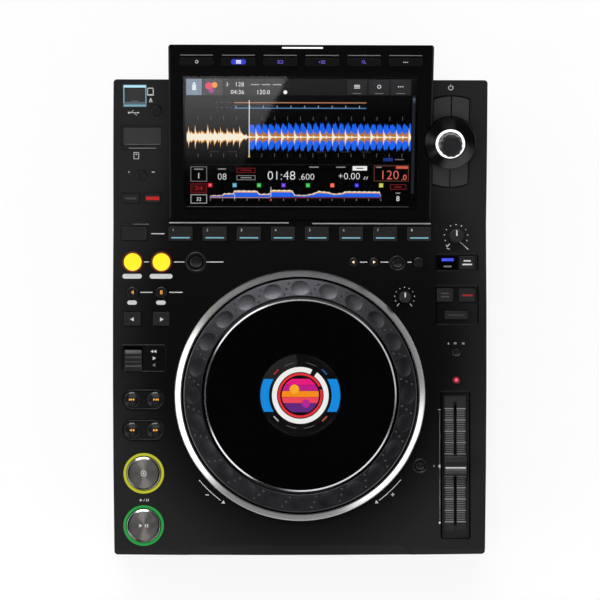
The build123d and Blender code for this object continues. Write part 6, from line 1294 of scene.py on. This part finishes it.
class Sky:
    """The studio round the player as a function of direction: a shade by height, and soft windows."""

    def __init__(self):
        """A studio with no light in it yet."""
        world = bpy.data.worlds.new("studio")
        world.use_nodes = True
        self.tree = world.node_tree
        self.direction = node(self.tree, "TexCoord").outputs["Generated"]
        self.light = None
        bpy.context.scene.world = world

    def math(self, operation, first, second):
        """The sum or the product of two values."""
        return node(self.tree, "Math", {0: first, 1: second}, operation).outputs[0]

    def dot(self, vector, direction=None):
        """A direction's share along a vector. The direction is the one looked in if none is given."""
        inputs = {0: direction or self.direction, 1: vector}
        return node(self.tree, "VectorMath", inputs, "DOT_PRODUCT").outputs["Value"]

    def ramp(self, value, *ends):
        """start below low, stop above high, and a smooth step between them."""
        return ramped(self.tree, value, *ends)

    def add(self, amount):
        """More light."""
        self.light = amount if self.light is None else self.math("ADD", self.light, amount)

    def window(self, azimuth, half, low, high, strength, ease):
        """A soft-edged light: so wide either side of an azimuth, between two elevations. ease is the
        width of its soft sides."""
        soft = 3.0
        flat = node(self.tree, "VectorMath", {0: self.direction, 1: (1.0, 1.0, 0.0)}, "MULTIPLY")
        heading = node(self.tree, "VectorMath", {0: flat.outputs[0]}, "NORMALIZE").outputs[0]
        facing = (math.cos(math.radians(azimuth)), math.sin(math.radians(azimuth)), 0.0)
        sides = [math.cos(math.radians(angle)) for angle in (half + ease, half)]
        near = self.ramp(self.dot(facing, heading), *sides)
        up = self.dot((0.0, 0.0, 1.0))
        edges = [math.sin(math.radians(angle)) for angle in (low - soft, low, high, high + soft)]
        between = self.math("MULTIPLY", self.ramp(up, *edges[:2]), self.ramp(up, *edges[2:], 1.0, 0.0))
        self.add(self.math("MULTIPLY", self.math("MULTIPLY", near, between), strength))

    def finish(self):
        """The light goes to the world's background."""
        fill(self.tree, self.tree.nodes["Background"],
             {"Color": (1.0, 1.0, 1.0, 1.0), "Strength": self.light})


CAMERA_AT, AIMED_AT = np.array((-0.0553, -0.0600, 2.4260)), np.array((0.0, 0.0028, 0.066))


def unit(vector):
    """The vector at a length of one."""
    return vector / np.linalg.norm(vector)


def seen_in_screen(u, v):
    """The direction that the screen glass reflects to the camera at a point of the screen."""
    back = unit(CAMERA_AT - SCREEN.carry((u, v, 0.0), *LCD_AT))
    return 2 * np.dot(SCREEN.off, back) * SCREEN.off - back


# Azimuth, half width, elevation from and to, strength, width of the soft sides.
WINDOWS = (
    (186.0, 24.0, 8.0, 27.0, 3.0, 22.0), (327.0, 16.0, 8.0, 27.0, 2.3, 22.0),
    (90.0, 30.0, 31.0, 40.0, 0.4, 16.0), (130.0, 16.0, 31.0, 40.0, 1.8, 8.0),
    (222.0, 14.0, 31.0, 40.0, 1.8, 8.0), (300.0, 26.0, 31.0, 40.0, 1.3, 16.0),
    (25.0, 20.0, 31.0, 40.0, 0.9, 16.0), (98.0, 20.0, 43.0, 56.0, 6.0, 4.0),
    (215.0, 7.0, 51.0, 64.0, 0.9, 2.0), (90.0, 46.0, 63.0, 80.0, 0.85, 10.0),
    (270.0, 22.0, 64.0, 80.0, 0.3, 10.0))


def studio_light():
    """A pale horizon that darkens overhead, with soft windows about the player and one slanted
    window high up, where the screen's glass reflects it to the camera."""
    horizon, overhead, glare_strength, hard = 0.60, 0.012, 1.15, 0.0003
    sky = Sky()
    sky.add(sky.ramp(sky.dot((0.0, 0.0, 1.0)), 0.0, 0.55, horizon, overhead))
    for light in WINDOWS:
        sky.window(*light)
    # Its slanted side crosses the screen between two points, and it brightens up the screen.
    edge = unit(np.cross(seen_in_screen(87.0, 113.7), seen_in_screen(48.0, 35.0)))
    if np.dot(edge, seen_in_screen(0.0, 80.0)) < 0:
        edge = -edge
    side = sky.ramp(sky.dot(tuple(edge)), -hard, hard)
    climb = seen_in_screen(20.0, 113.7) - seen_in_screen(20.0, 25.0)
    low, high = (float(np.dot(climb, seen_in_screen(20.0, v))) for v in (25.0, 118.0))
    fade = sky.ramp(sky.dot(tuple(climb)), low, high)
    ends = sky.ramp(sky.dot(tuple(climb)), high, high + (high - low) * 0.12, 1.0, 0.0)
    beside = sky.ramp(sky.dot((1.0, 0.0, 0.0)), -0.16, -0.12)
    glare = sky.math("MULTIPLY", sky.math("MULTIPLY", side, fade), ends)
    sky.add(sky.math("MULTIPLY", sky.math("MULTIPLY", glare, beside), glare_strength))
    sky.finish()


def eye():
    """The camera: high above a point a little left of the middle and before it, aimed at the middle
    of the deck, with the player's back at the top of the picture."""
    camera = bpy.data.cameras.new("camera")
    camera.lens, camera.sensor_width = 160.0, 36.0
    camera.clip_start, camera.clip_end = 0.05, 60.0
    holder = bpy.data.objects.new("camera", camera)
    holder.location = CAMERA_AT
    back = unit(CAMERA_AT - AIMED_AT)
    right = unit(np.cross((0.0, 1.0, 0.0), back))
    holder.rotation_euler = Matrix(np.column_stack((right, np.cross(back, right), back)).tolist()).to_euler()
    bpy.context.scene.collection.objects.link(holder)
    bpy.context.scene.camera = holder


studio_floor()
studio_light()
eye()
bpy.context.scene.view_settings.view_transform = "Standard"
